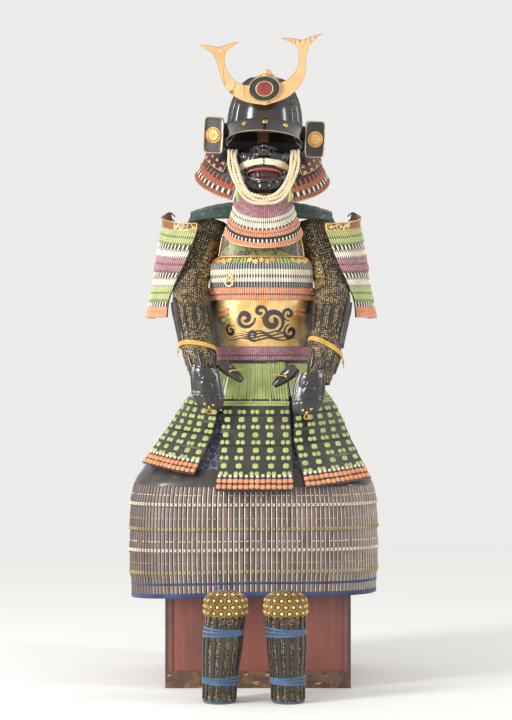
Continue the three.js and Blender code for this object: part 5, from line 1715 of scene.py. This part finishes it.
def rosette(node, place, front):
    """A round gilt boss with twelve petals inside two rings."""
    gold, ground = Soup(), Soup()
    t = full_turn(48)
    for radius, half in ((19.4, 1.3), (14.6, 0.8)):
        loop = placed(place, xyz(radius * np.cos(t), -5.6, radius * np.sin(t)))
        gold.sweep(loop, front, half, 1.0, sides=8, closed=True)
    petal = pillow(5.2, 11.5, 1.4, 2, 12)
    for a in full_turn(12):
        middle = placed(place, np.array([8.4 * math.sin(a), -5.6, 8.4 * math.cos(a)]))
        outward = direction(place, (math.sin(a), 0, math.cos(a)))
        sideways = direction(place, (math.cos(a), 0, -math.sin(a)))
        gold.stamp(petal, middle, sideways, -outward, np.cross(outward, sideways))
    across, down = direction(place, (1, 0, 0)), direction(place, (0, 0, -1))
    for soup, size, y in ((ground, 40, -3.4), (gold, 7, -5.6)):
        centre = placed(place, np.array([0, y, 0.0]))
        soup.stamp(pillow(size, size, 2.2, 2, 40), centre, across, down, front)
    ground.make(node + "_roundel", ROUNDEL, slot="gilt_brass")
    gold.make(node + "_gilding", GOLD, slot="gilt_brass")


helmet()


# ---------------------------------------------------------------- crest


DISC_HEIGHT = 42  # of the disc's middle over the foot of the crest


def disc_ring(half_x, half_z, y, steps=64):
    """An ellipse about the disc's middle, y behind the crest's own plane."""
    t = full_turn(steps)
    return placed(CREST_FRAME, xyz(half_x * np.cos(t), y, DISC_HEIGHT + half_z * np.sin(t)))


def disc_solid(half_x, half_z, rings, steps=64):
    """A closed round shape. Each ring is a share of its size and a y."""
    solid = Soup()
    verts = [disc_ring(half_x * k, half_z * k, y, steps) for k, y in rings]
    solid.add(np.concatenate(verts), stack_faces(len(rings), steps))
    return solid


def crest_disc():
    """The plain disc on the crest: dark green-black with a gold rim and a red middle."""
    front = direction(CREST_FRAME, (0, -1, 0))
    rings = [(0.94, -4.5), (1.0, -5.5), (1.0, -9.4), (0.95, -10.4), (0.6, -10.9), (0.2, -11.1)]
    disc = disc_solid(41, 33, rings)
    look = lacquer("disc_lacquer", "1c2420", "33302a", 0.2)
    disc.make("crest_disc_made", look, body="crest", slot="black_lacquer", replaces=("crest_disc",))
    gold = Soup()
    gold.sweep(disc_ring(39.4, 31.4, -10.4), front, 1.0, 0.8, sides=8, closed=True)
    gold.sweep(disc_ring(21.5, 18.5, -11.1), front, 1.1, 0.8, sides=8, closed=True)
    gold.make("crest_disc_rims", GOLD, body="crest", slot="gilt_brass")
    red = disc_solid(20.6, 17.6, [(1, -10.6), (0.9, -11.8), (0.4, -12.4)], 48)
    look = lacquer("disc_red", "8e2f28", "5c201c", 0.3)
    red.make("crest_disc_middle", look, body="crest", slot="red_lacquer")


HORN_OUTER = [(53, 14), (88, 40), (105, 72), (111, 110), (123, 141), (154, 165)]
HORN_NOTCH = [(128, 160), (104, 154), (80, 160), (54, 163)]
HORN_INNER = [(88, 143), (94, 114), (87, 86), (71, 66), (50, 55), (0, 46)]


def spline(points, steps=6):
    """A curve through the points, as evenly timed cubic pieces."""
    p = np.array(points, float)
    p = np.concatenate([p[:1], p, p[-1:]])
    t = (np.arange(steps) / steps)[:, None]
    pieces = []
    for a, b, c, d in zip(p[:-3], p[1:-2], p[2:-1], p[3:]):
        v0, v1 = (c - a) / 2, (d - b) / 2
        cubic = (2 * b - 2 * c + v0 + v1) * t**3 + (-3 * b + 3 * c - 2 * v0 - v1) * t**2
        pieces.append(cubic + v0 * t + b)
    return np.concatenate(pieces)


def crest_edge():
    """A dark gold bead round the horns' outline."""
    tip, fork = HORN_OUTER[-1:], HORN_NOTCH[-1:]
    half = [spline([(0, 0)] + HORN_OUTER), spline(tip + HORN_NOTCH), spline(fork + HORN_INNER)]
    right = np.concatenate(half + [np.array(HORN_INNER[-1:], float)])
    outline = np.concatenate([right, right[-2:0:-1] * [-1, 1]])
    line = placed(CREST_FRAME, xyz(outline[:, 0], -2.0, outline[:, 1]))
    edge = Soup()
    edge.sweep(line, direction(CREST_FRAME, (0, -1, 0)), 0.7, 2.25, sides=8, closed=True)
    look = gilt("crest_edge_gold", "b9814a", "6b4426", False, 0.4)
    edge.make("crest_edge", look, body="crest", slot="gilt_brass")


crest_disc()
crest_edge()


# ---------------------------------------------------------------- face mask

MASK = smooth([
    (1394, 70, -86, -22), (1366, 72, -92, -24), (1338, 71, -94, -28), (1310, 66, -95, -34),
    (1284, 56, -97, -42), (1262, 44, -100, -52), (1246, 30, -92, -58),
])
MASK_X, MASK_BOTTOM, MASK_THICK = 15.0, 1246.0, 3.0
MASK_EDGE = smooth([(0, 1374), (0.15, 1371), (0.28, 1359), (0.6, 1350), (1, 1360)])
MOUTH_TOP, MOUTH_BOTTOM, MOUTH_HALF = 1306.0, 1281.0, 41.0


def bump(t):
    return np.where(np.abs(t) < 0.5, np.cos(np.pi * np.clip(t, -0.5, 0.5)) ** 2, 0)


def mask(side, z):
    half, front, back = MASK(z)
    angle = side * np.pi / 2
    x = half * np.sin(angle)
    nose = np.where(z > 1352, 26 * (1398 - z) / (1398 - 1352), 26 * (z - 1338) / 14)
    y = back - (back - front) * np.maximum(0, np.cos(angle)) ** 0.8
    y = y - np.clip(nose, 0, 26) * bump(x / 34) - 10 * bump(x / 68) * bump((z - 1268) / 48)
    return xyz(MASK_X + x, y, z)


def on_mask(u, v):
    side = 2 * np.asarray(u, float) - 1
    return mask(side, mix(MASK_EDGE(np.abs(side))[0], MASK_BOTTOM, v))


def mask_relief(u, v):
    """Cheekbones, brow wrinkles, the folds from nose to chin, and the ridged chin."""
    side = 2 * u - 1
    z = mix(MASK_EDGE(np.abs(side))[0], MASK_BOTTOM, v)
    x = np.abs(MASK(z)[0] * np.sin(side * np.pi / 2))
    cheek = 7 * bump((x - 44) / 46) * bump((z - 1338) / 48)
    folds = 0.0
    for k in range(4):
        line = 21 + 8.5 * k + (1348 - z) * (0.34 - 0.03 * k)
        strength = smoothstep(z, 1282, 1300) * (1 - smoothstep(z, 1346, 1356))
        folds = folds + 2.4 * peak(x - line, 2.3) * strength * (1 - 0.16 * k)
    brow = 1.4 * np.sin((z - 1352) / 1.9 + x * 0.06) * smoothstep(z, 1350, 1358) * bump(x / 90)
    nostril = 5.0 * peak(x - 14, 6) * peak(z - 1345, 6)
    lips = 3.4 * peak(np.hypot(x / 46, (z - 1293) / 17) - 1, 0.1)
    chin = 5.5 * bump(x / 70) * bump((z - 1260) / 26)
    chin = chin + 0.7 * np.sin((1272 - z) / 1.9) * smoothstep(1274 - z, 0, 6) * bump(x / 80)
    return cheek + folds + brow + nostril + lips + chin


def cut(made, cutter):
    """Takes one mesh object away from another, which stays as a plain mesh."""
    modifier = made.modifiers.new("cut", "BOOLEAN")
    modifier.object = cutter
    modifier.solver = "EXACT"
    graph = bpy.context.evaluated_depsgraph_get()
    result = bpy.data.meshes.new_from_object(made.evaluated_get(graph))
    made.modifiers.remove(modifier)
    made.data = result
    bpy.data.objects.remove(cutter)


MOUTH_MIDDLE, LIP_HEIGHT, TEETH = (MOUTH_TOP + MOUTH_BOTTOM) / 2, 14.5, 12


def before_mask(x, z, lift):
    """Points lift mm in front of the mask's inner face, at x from its middle and height z."""
    return mask(np.arcsin(x / MASK(z)[0]) / (np.pi / 2), z) - [0, lift, 0]


def mouth_cutter():
    """An elliptical bar that goes right through the mask, just inside the lips."""
    t = full_turn(40)
    ring = lambda y: xyz(MASK_X + MOUTH_HALF * np.cos(t), y, MOUTH_MIDDLE + 12.5 * np.sin(t))
    faces = [[i, 40 + i, 40 + (i + 1) % 40, (i + 1) % 40] for i in range(40)]
    faces += [list(range(40)), list(range(40, 80))[::-1]]
    mesh = bpy.data.meshes.new("mouth_cutter")
    mesh.from_pydata((np.concatenate([ring(-150), ring(-50)]) * MM).tolist(), [], faces)
    cutter = bpy.data.objects.new("mouth_cutter", mesh)
    scene.collection.objects.link(cutter)
    return cutter


def lips_and_teeth():
    """A red upper lip, and a dark lower lip with the lower teeth's ridges on it."""
    upper, lower = Soup(), Soup()
    t = np.linspace(0.06, 0.94, 40) * np.pi
    for soup, sign, reach in ((upper, 1, 45), (lower, -1, 43)):
        x, z = reach * np.cos(t), MOUTH_MIDDLE + sign * LIP_HEIGHT * np.sin(t)
        points = before_mask(x, z, MASK_THICK + 3.6)
        soup.sweep(points, (0, -1, 0), 3.6 * (0.35 + 0.65 * np.sin(t)), 1.8, sides=8)
    for k in range(TEETH):
        x = (k - (TEETH - 1) / 2) * 5.2
        foot = MOUTH_MIDDLE - 12.0 * math.sqrt(1 - (x / MOUTH_HALF) ** 2)
        points = before_mask(x, np.array([foot - 1, foot + 3.4]), MASK_THICK + 0.4)
        lower.sweep(points, (0, -1, 0), [2.0, 1.5], [1.4, 1.0], sides=6)
    upper.make("mask_upper_lip", lacquer("lip_red", "b4483c", "7c2c25", 0.3), slot="red_lacquer")
    dark = lacquer("lower_lip_dark", "3a2a24", "6a4a34", 0.2)
    lower.make("mask_lower_teeth", dark, slot="black_lacquer", replaces=("lower_lip",))


def palate():
    """The dark red hollow behind the mouth, ridged at its foot."""

    def recess(u, v):
        s, t = 2 * u - 1, 2 * v - 1
        depth = 9 * (1 - s**4) * (1 - t**4) - 0.5
        return mask(0.58 * s, mix(MOUTH_TOP + 5, MOUTH_BOTTOM - 5, v)) + xyz(0, depth, 0)

    ridges = lambda u, v: 1.4 * np.abs(np.sin(np.pi * u * 9)) * smoothstep(v, 0.2, 0.4)
    look = lacquer("mouth_red", "4a1a14", "2a0f0c", 0.35)
    skin("mask_palate", recess, 54, 16, 1.2, look, ridges, slot="red_lacquer")


def face_mask():
    made = cover(
        "face_mask", on_mask, 110, 84, MASK_THICK, MASK_BLACK, "black_lacquer", mask_relief,
    )
    cut(made, mouth_cutter())
    palate()
    lips_and_teeth()
    edge = Soup()
    rim(edge, on_mask, [(0.02, 0.995), (0.98, 0.995)], MASK_THICK + 1.4, 1.8, 60)
    edge.make(
        "mask_edge", gilt("mask_edge_gold", "e0944e", "a85a2c", False, 0.4), slot="gilt_brass",
    )
    moustache()
    throat_guard()


HAIRS, HAIR_ROOT, HAIR_HEIGHT, HAIR_DEPTH = 480, 40, 1327, 1325.0


def moustache():
    """Pale hair combed out and down from under the nose."""
    hair, t = Soup(), np.linspace(0, 1, 8)
    for _ in range(HAIRS):
        side = rng.choice([-1, 1])
        root = rng.uniform(0.5, HAIR_ROOT)
        lift = rng.uniform(-6.5, 6.5)
        length = rng.uniform(30, 48) * (1 - 0.38 * root / HAIR_ROOT)
        x = root + length * t * (0.95 - 0.1 * rng.random())
        droop = rng.uniform(6, 15) * t * t * (root + length * t) / 60
        out = rng.uniform(0.4, 3.4) + 2.2 * np.sin(np.pi * t * 0.8)
        z = HAIR_HEIGHT + lift - 0.1 * root - 1.5 * t - droop
        turn = np.arcsin(np.clip(x / MASK(z)[0], 0, 0.985)) / (np.pi / 2)
        points = mask(side * turn, np.full(8, HAIR_DEPTH))
        points[:, 2] = z
        points[:, 1] -= MASK_THICK + 2.6 + out
        points[:, 0] += rng.normal(0, 0.5)
        hair.sweep(points, (0, -1, 0), 1.3 * (1.1 - t), 0.8, sides=4)
    look = Look("pale_hair", Roughness=0.5)
    look.set("Base Color", look.blend(look.noise(140, 2), "fff6e2", "dcc8a0"))
    hair.make("moustache_hair", look.done(), slot="white_lace", replaces=("moustache",))


THROAT = [(1236, 1181, 60, 74), (1180.4, 1153, 75, 82), (1152.4, 1130, 83, 92)]
THROAT += [(1129.4, 1103, 93, 99)]


THROAT_X, THROAT_Y, THROAT_REACH, THROAT_RISE, THROAT_THICK = 14, -58, 80, 38, 3.0
THROAT_LACING = [
    [(0, MAUVE, "lace"), (0.24, MAUVE, "lace"), (0.5, MAUVE, "lace"), (0.76, MAUVE, "lace")],
    [(0, PALE, "lace"), (0.36, PALE, "ticks"), (0.52, PALE, "lace")],
    [(0, PALE, "dots"), (0.2, CORAL, "lace"), (0.55, CORAL, "ticks"), (0.62, CORAL, "lace")],
    [(0, BARE_LACQUER_AND_SHADE, "plain"), (0.18, PALE, "dots"), (0.5, CORAL, "lace")],
]
THROAT_SLOTS = ["purple_lace", "white_lace", "orange_lace", "orange_lace"]


def throat_lame(top, bottom, top_half, bottom_half):
    """A lame of the throat guard. Its ends rise towards the neck."""

    def base(u, v):
        side = 2 * np.asarray(u, float) - 1
        angle = np.radians(THROAT_REACH) * side
        half = mix(top_half, bottom_half, v)
        z = mix(top, bottom, v) + THROAT_RISE * side * side
        return xyz(THROAT_X + half * np.sin(angle), THROAT_Y - 0.78 * half * np.cos(angle), z)

    return base


def throat_guard():
    rims = Soup()
    for i, bands in enumerate(THROAT_LACING):
        base, ribs = throat_lame(*THROAT[i]), 38 + 4 * i
        name = f"throat_guard_{i + 1}"
        look = banded(name + "_lacing", bands, ribs)
        rows = rows_with_breaks(22 if i == 0 else 14, [b[0] for b in bands] + [1.0], 0.015)
        relief = band_relief(bands, ribs, 2.2, [0, 1], 1.5)
        cover(name, base, ribs * 3, rows, THROAT_THICK, look, THROAT_SLOTS[i], relief)
        if i in (0, 3):
            row = 0.02 if i == 0 else 0.985
            rim(rims, base, [(0.01, row), (0.99, row)], 4.4, 1.4, 70)
    rims.make("throat_rims", GOLD, slot="gilt_brass")


CORD_PATH = [
    (-80, -60, 1358), (-81, -80, 1346), (-80, -93, 1330), (-75, -104, 1302), (-62, -116, 1266),
    (-42, -127, 1238), (-20, -134, 1227), (0, -136, 1224),
]


def chin_cord():
    """Three laid strands from one side of the helmet, under the chin, to the other."""
    half = np.array(CORD_PATH, float)
    both = np.concatenate([half, half[-2::-1] * [-1, 1, 1]])
    curve = smooth([(i, *p) for i, p in enumerate(both)])
    t = np.linspace(0, len(both) - 1, 90)
    line = np.stack(curve(t), axis=-1) + [MASK_X, 0, 0]
    side = unit(np.cross(unit(np.gradient(line, axis=0)), [0, -1.0, 0.0]))
    cords = Soup()
    for offset, radius in ((-8.2, 4.9), (0.4, 4.6), (8.8, 4.2)):
        sway = 1.2 * np.sin(t * 2.1 + offset)
        twisted(cords, line + side * (offset + sway)[:, None], radius, 2, 17.0, 8)
    cords.make("chin_cord_made", CREAM_CORD, slot="white_lace", replaces=("chin_cord",))


def mask_side_ties():
    """Three loops of green tie at each lower corner of the mask."""
    ties, turn = Soup(), np.linspace(0, 1, 26)
    arch = np.sin(turn * np.pi)
    for flip in (-1, 1):
        start = np.array([MASK_X + flip * 60, -116, 1243])
        for reach, lean, width in ((15, 0.5, 4.4), (12, -0.7, 4.0), (17, 1.2, 3.2)):
            x = flip * reach * arch * (0.7 + 0.3 * np.cos(turn * 6))
            loop = xyz(x, -3 - 4 * arch, lean * 14 * turn - 26 * turn * (1 - turn) * 2)
            ties.sweep(start + loop, (0, -1, 0), width, 1.4, sides=8)
    ties.make("mask_side_ties", GREEN_SILK, slot="green_lace")


face_mask()
chin_cord()
mask_side_ties()


# ---------------------------------------------------------------- shin guards

SHIN = smooth([(0, 35, 38, 0), (60, 37, 41, 0.15), (150, 43, 48, 0.6), (214, 42, 47, 1)])
SHINS = {"left": (-93, 15), "right": (72, -6)}
SHIN_Y, SHIN_TOP, SHIN_THICK, SHIN_REACH = -392, 214, 3, 124
KNEE_TOP, KNEE_BOTTOM, KNEE_THICK, KNEE_OUT, KNEE_LEAN = 271, 208, 4, 5, 12
KNEE_OUTLINE = smooth([(0, 16), (0.12, 48), (0.35, 78), (0.7, 96), (1, 98)])


def shin(name, angle, z, grow=0.0):
    x, lean = SHINS[name]
    half, deep, share = SHIN(z)
    y = SHIN_Y - (deep + grow) * np.cos(angle)
    return xyz(x + lean * share + (half + grow) * np.sin(angle), y, z)


SPLINT_PITCH = 0.105


def shin_guards():
    for name in SHINS:
        reach = math.radians(SHIN_REACH)
        base = lambda u, v, n=name: shin(n, mix(-reach, reach, u), mix(SHIN_TOP, 0, v))
        skin(
            f"shin_{name}_mail", base, 48, 44, SHIN_THICK - 0.6,
            mail_look(f"shin_{name}_rings", 44, 48), slot="mail", replaces=(f"shin_guard_{name}",),
        )
        plates, ties = Soup(), Soup()
        for k in range(-3, 4):
            u = 0.5 + SPLINT_PITCH * k
            splint(plates, base, u, 0.03, 0.96, 5.6, SHIN_THICK + 0.9, False)
        plates.make(f"shin_{name}_splints", SPLINT_BLACK, slot="black_lacquer")
        u = np.linspace(0.02, 0.98, 70)
        wave = 0.9 * np.abs(np.cos(np.pi * (u - 0.5) / SPLINT_PITCH)) ** 0.5
        for middle, lean in ((0.205, 0.03), (0.745, -0.022)):
            for k, slant in enumerate((lean, 0.1 * lean, -0.9 * lean)):
                v = middle + 0.03 * (k - 1) + slant * (u - 0.5) * 2
                points, outs = along_edge(base, u, v, SHIN_THICK + 1.7 + wave + 0.5 * k)
                ties.sweep(points, outs, 3.4, 1.5, sides=8)
        rim(ties, base, [(0.01, 0.985), (0.99, 0.985)], SHIN_THICK + 0.4, 2.0, 60)
        ties.make(f"shin_{name}_ties", NAVY_SILK, slot="indigo_cloth")
        knee(name)


HEX_PITCH, HEX_ROW, HEX_TOP, HEX_RADIUS, KNEE_ROUND = 17.6, 14.6, 260.5, 9.2, 50.0


def knee_base(name):
    """The knee guard's inner face. It leans out at its top."""

    def base(u, v):
        z = mix(KNEE_TOP, KNEE_BOTTOM, v)
        reach = np.radians(KNEE_OUTLINE(v)[0])
        p = shin(name, mix(-reach, reach, u), np.minimum(z, SHIN_TOP), KNEE_OUT)
        p[..., 1] += KNEE_LEAN * (1 - v) ** 2
        p[..., 2] = z
        return p

    return base


def hexagon_spots():
    """The u and v of every hexagon that fits inside the knee guard's outline."""
    for row in range(4):
        v = (KNEE_TOP - (HEX_TOP - row * HEX_ROW)) / (KNEE_TOP - KNEE_BOTTOM)
        reach = math.radians(float(KNEE_OUTLINE(v)[0]))
        for col in range(-5, 6):
            angle = (col + 0.5 * (row % 2)) * HEX_PITCH / KNEE_ROUND
            if abs(angle) <= reach - 0.1 and v <= 0.95:
                yield (angle + reach) / (2 * reach), v


def knee_look(name):
    """Dull olive and brown padding cloth."""
    look = Look(f"knee_padding_{name}", Roughness=0.8, Sheen_Weight=0.2)
    ground = look.blend(look.step(look.noise(90, 3), 0.4, 0.6), "3f3a24", "5c5230")
    look.set("Base Color", ground)
    look.bump(look.noise(500, 2), 0.5, 0.0006)
    return look.done()


def knee(name):
    base = knee_base(name)
    made = skin(
        f"knee_{name}_padding", base, 40, 30, KNEE_THICK, knee_look(name), slot="hexagon_padding",
        replaces=(f"knee_guard_{name}",),
    )
    lines, studs, binding = Soup(), Soup(), Soup()
    hexagon = pillow(8.4, 8.4, 3.4, 2, 12)
    corner = (np.arange(7) / 6 * 2 * np.pi + np.pi / 3)[:, None]
    for u, v in hexagon_spots():
        centre, _ = along_edge(base, u, v, KNEE_THICK + 0.3)
        across, down, out = sides_of(base, u, v)
        studs.stamp(hexagon, centre, across, down, out)
        ring = HEX_RADIUS * (np.sin(corner) * across + np.cos(corner) * down)
        lines.sweep(centre + ring + out * 0.3, out, 0.75, 0.9, sides=5)
    stud_gold = gilt("hexagon_gold", "e9dc9c", "b9a65c", False, 0.6)
    studs.make(f"knee_{name}_studs", stud_gold, slot="gilt_brass")
    line_gold = gilt("hexagon_edge", "d8a65e", "a8733c", False, 0.3)
    lines.make(f"knee_{name}_cords", line_gold, slot="gilt_brass")
    border = [(0.02, 0.98), (0.02, 0.5), (0.03, 0.25), (0.06, 0.1), (0.2, 0.02), (0.8, 0.02)]
    border += [(0.94, 0.1), (0.97, 0.25), (0.98, 0.5), (0.98, 0.98)]
    rim(binding, base, border, KNEE_THICK * 0.6, 2.4, 110)
    binding.make(f"knee_{name}_binding", NAVY_SILK, slot="indigo_cloth")


shin_guards()


# ---------------------------------------------------------------- chest, stand and metal fittings


# The chest's framing, in metres from its middle and from the floor.
STILE_X, STILE_Y, SIDE_X, FRONT_Y, TOP_Z, RAIL_Z, EDGE_BLUR = 0.224, 0.192, 0.226, 0.194, 0.45, 0.042, 0.0005


def chest_frame(look, x, y, z):
    """1 on the upright stiles and on the top, and 0 on the panels."""
    wide, deep = look.math("ABSOLUTE", x), look.math("ABSOLUTE", y)
    edge_x = look.step(wide, STILE_X - EDGE_BLUR, STILE_X + EDGE_BLUR)
    edge_y = look.step(deep, STILE_Y - EDGE_BLUR, STILE_Y + EDGE_BLUR)
    on_front = look.times(edge_x, look.math("GREATER_THAN", deep, FRONT_Y))
    on_side = look.times(edge_y, look.math("GREATER_THAN", wide, SIDE_X))
    stile = look.math("MAXIMUM", on_front, on_side)
    return look.math("MAXIMUM", stile, look.step(z, TOP_Z, TOP_Z + EDGE_BLUR))


def rail_colour(look):
    """Chipped wood with what is left of its gilding."""
    chips = look.step(look.noise(26, 6), 0.44, 0.5)
    wood = look.blend(chips, "6f5038", "553a2b")
    gold_line = look.step(look.noise(33, 3, look.place((1.0, 1.0, 3.0))), 0.63, 0.66)
    return look.blend(gold_line, wood, "b98d4c")


def chest_look():
    """Old red-brown lacquer panels between green-black framing, with a worn gilt bottom rail."""
    look = Look("chest_lacquer", Coat_Weight=0.35, Coat_Roughness=0.2)
    x, y, z = look.node("ShaderNodeSeparateXYZ", {0: look.place()}).outputs
    mottle = look.step(look.noise(9, 5), 0.35, 0.7)
    red = look.blend(mottle, "8a4a3d", "6e3f34")
    streaks = look.noise(40, 4, look.place((1.0, 1.0, 0.06)))
    red = look.blend(look.step(streaks, 0.5, 0.8), red, "96513f")
    frame_colour = look.blend(look.step(look.noise(20, 4), 0.4, 0.7), "34322a", "4d4034")
    colour = look.blend(chest_frame(look, x, y, z), red, frame_colour)
    rail = look.step(z, RAIL_Z + EDGE_BLUR, RAIL_Z - EDGE_BLUR)
    colour = look.blend(rail, colour, rail_colour(look))
    nicks = look.step(look.noise(55, 5), 0.68, 0.71)
    look.set("Base Color", look.blend(nicks, colour, "8a7256"))
    look.rough(30, 4, 0.3, 0.2)
    height = look.scaled(look.noise(60, 4), 0.4, look.times(nicks, -1.0))
    look.bump(height, 0.25, 0.0008)
    return look.done()


def lid_look():
    """Green-black lacquer, mottled brown and chipped."""
    look = Look("lid_lacquer", Coat_Weight=0.35, Coat_Roughness=0.2)
    mottle = look.step(look.noise(12, 5), 0.35, 0.7)
    colour = look.blend(mottle, "232720", "3a3226")
    chips = look.step(look.noise(48, 5), 0.66, 0.7)
    look.set("Base Color", look.blend(chips, colour, "7c6446"))
    look.rough(30, 4, 0.3, 0.2)
    look.bump(look.noise(70, 4), 0.2, 0.0007)
    return look.done()


def wood_look():
    """Oiled red-brown wood with a grain along the posts."""
    look = Look("stand_wood", Coat_Weight=0.1)
    grain = look.noise(60, 5, look.place((1.0, 1.0, 0.05)))
    look.set("Base Color", look.blend(look.step(grain, 0.35, 0.7), "8c4f34", "643422"))
    look.set("Roughness", look.scaled(grain, 0.3, 0.35))
    look.bump(grain, 0.3, 0.0006)
    return look.done()


def dress(node, look, edge, segments=2):
    """Gives a CAD node its material and rounds its edges a little."""
    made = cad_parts[node]
    made.data.materials.clear()
    made.data.materials.append(look)
    if edge:
        bevel = made.modifiers.new("rounded", "BEVEL")
        bevel.width = edge * MM
        bevel.segments = segments
        bevel.limit_method = "ANGLE"
        bevel.angle_limit = math.radians(40)
    made.data.shade_smooth()
    made.data.set_sharp_from_angle(angle=math.radians(40))


dress("chest_body", chest_look(), 1.2)
dress("chest_lid", lid_look(), 1.6)
dress("armour_stand", wood_look(), 2.0)
dress("ring_staple", GOLD, 0.3)
dress("baton_ring", GOLD, 0.0)
dress("crest_horns", CREST_GOLD, 0.0)
dress("crest_prong", BRASS, 0.4)


# ---------------------------------------------------------------- floor, light and camera


# Metres from here on.
FLOOR_HALF, FLOOR_Z = 40, -0.0003
PAPER, STUDIO, STUDIO_LIGHT = "eeeeec", "f7f7f5", 0.9
FADE_FROM, FADE_TO = 0.9, 4.5  # from the middle, where the floor turns into the studio's light
# Place, width and height, and power in watts.
LAMPS = {"key": ((-3.5, -2.5, 1.8), (0.9, 2.6), 190), "fill": ((3.7, -1.3, 1.6), (0.4, 2.2), 45)}
LAMPS_AIM = (0.0, 0.0, 0.9)
CAMERA_PLACE, CAMERA_LENS, CAMERA_SENSOR = (-0.005, -5.1, 0.82), 98.04, 36


def floor():
    """Pale paper that takes shadows nearby and has the studio's own brightness far off."""
    mesh = bpy.data.meshes.new("floor")
    corners = [(-1, -1), (1, -1), (1, 1), (-1, 1)]
    verts = [(x * FLOOR_HALF, y * FLOOR_HALF, FLOOR_Z) for x, y in corners]
    mesh.from_pydata(verts, [], [(0, 1, 2, 3)])
    made = bpy.data.objects.new("floor", mesh)
    scene.collection.objects.link(made)
    look = Look("paper", Roughness=1.0, Specular_IOR_Level=0.0)
    where = look.node("ShaderNodeNewGeometry", {}).outputs["Position"]
    reach = look.node("ShaderNodeVectorMath", {0: where}, operation="LENGTH").outputs["Value"]
    far = look.step(reach, FADE_FROM, FADE_TO)
    look.set("Base Color", look.blend(far, PAPER, "000000"))
    look.set("Emission Color", rgb(STUDIO))
    look.set("Emission Strength", look.times(far, STUDIO_LIGHT))
    mesh.materials.append(look.done())
    made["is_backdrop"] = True


def lights():
    """An even pale studio, with two tall soft lamps far to the sides."""
    world = bpy.data.worlds.new("studio")
    world.use_nodes = True
    background = world.node_tree.nodes["Background"]
    background.inputs[0].default_value = rgb(STUDIO)
    background.inputs[1].default_value = STUDIO_LIGHT
    scene.world = world
    for name, (place, size, power) in LAMPS.items():
        light = bpy.data.lights.new(name, "AREA")
        light.shape = "RECTANGLE"
        light.size, light.size_y = size
        light.energy = power
        lamp = bpy.data.objects.new(name, light)
        lamp.location = place
        aim = Vector(LAMPS_AIM) - Vector(place)
        lamp.rotation_euler = aim.to_track_quat("-Z", "Y").to_euler()
        scene.collection.objects.link(lamp)


def camera():
    """Straight at the armour's front from mid height, about five metres away."""
    data = bpy.data.cameras.new("camera")
    data.sensor_width = data.sensor_height = CAMERA_SENSOR
    data.sensor_fit = "VERTICAL"
    data.lens = CAMERA_LENS
    made = bpy.data.objects.new("camera", data)
    made.location = CAMERA_PLACE
    made.rotation_euler = (math.radians(90), 0, 0)
    scene.collection.objects.link(made)
    scene.camera = made


floor()
lights()
camera()
scene.view_settings.view_transform = "Standard"

CAD_PLUS_VISUAL_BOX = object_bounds()
sizes = {"cad": CAD_BOX, "visual": CAD_PLUS_VISUAL_BOX}
{k: [list(map(float, p)) for p in v] for k, v in sizes.items()}
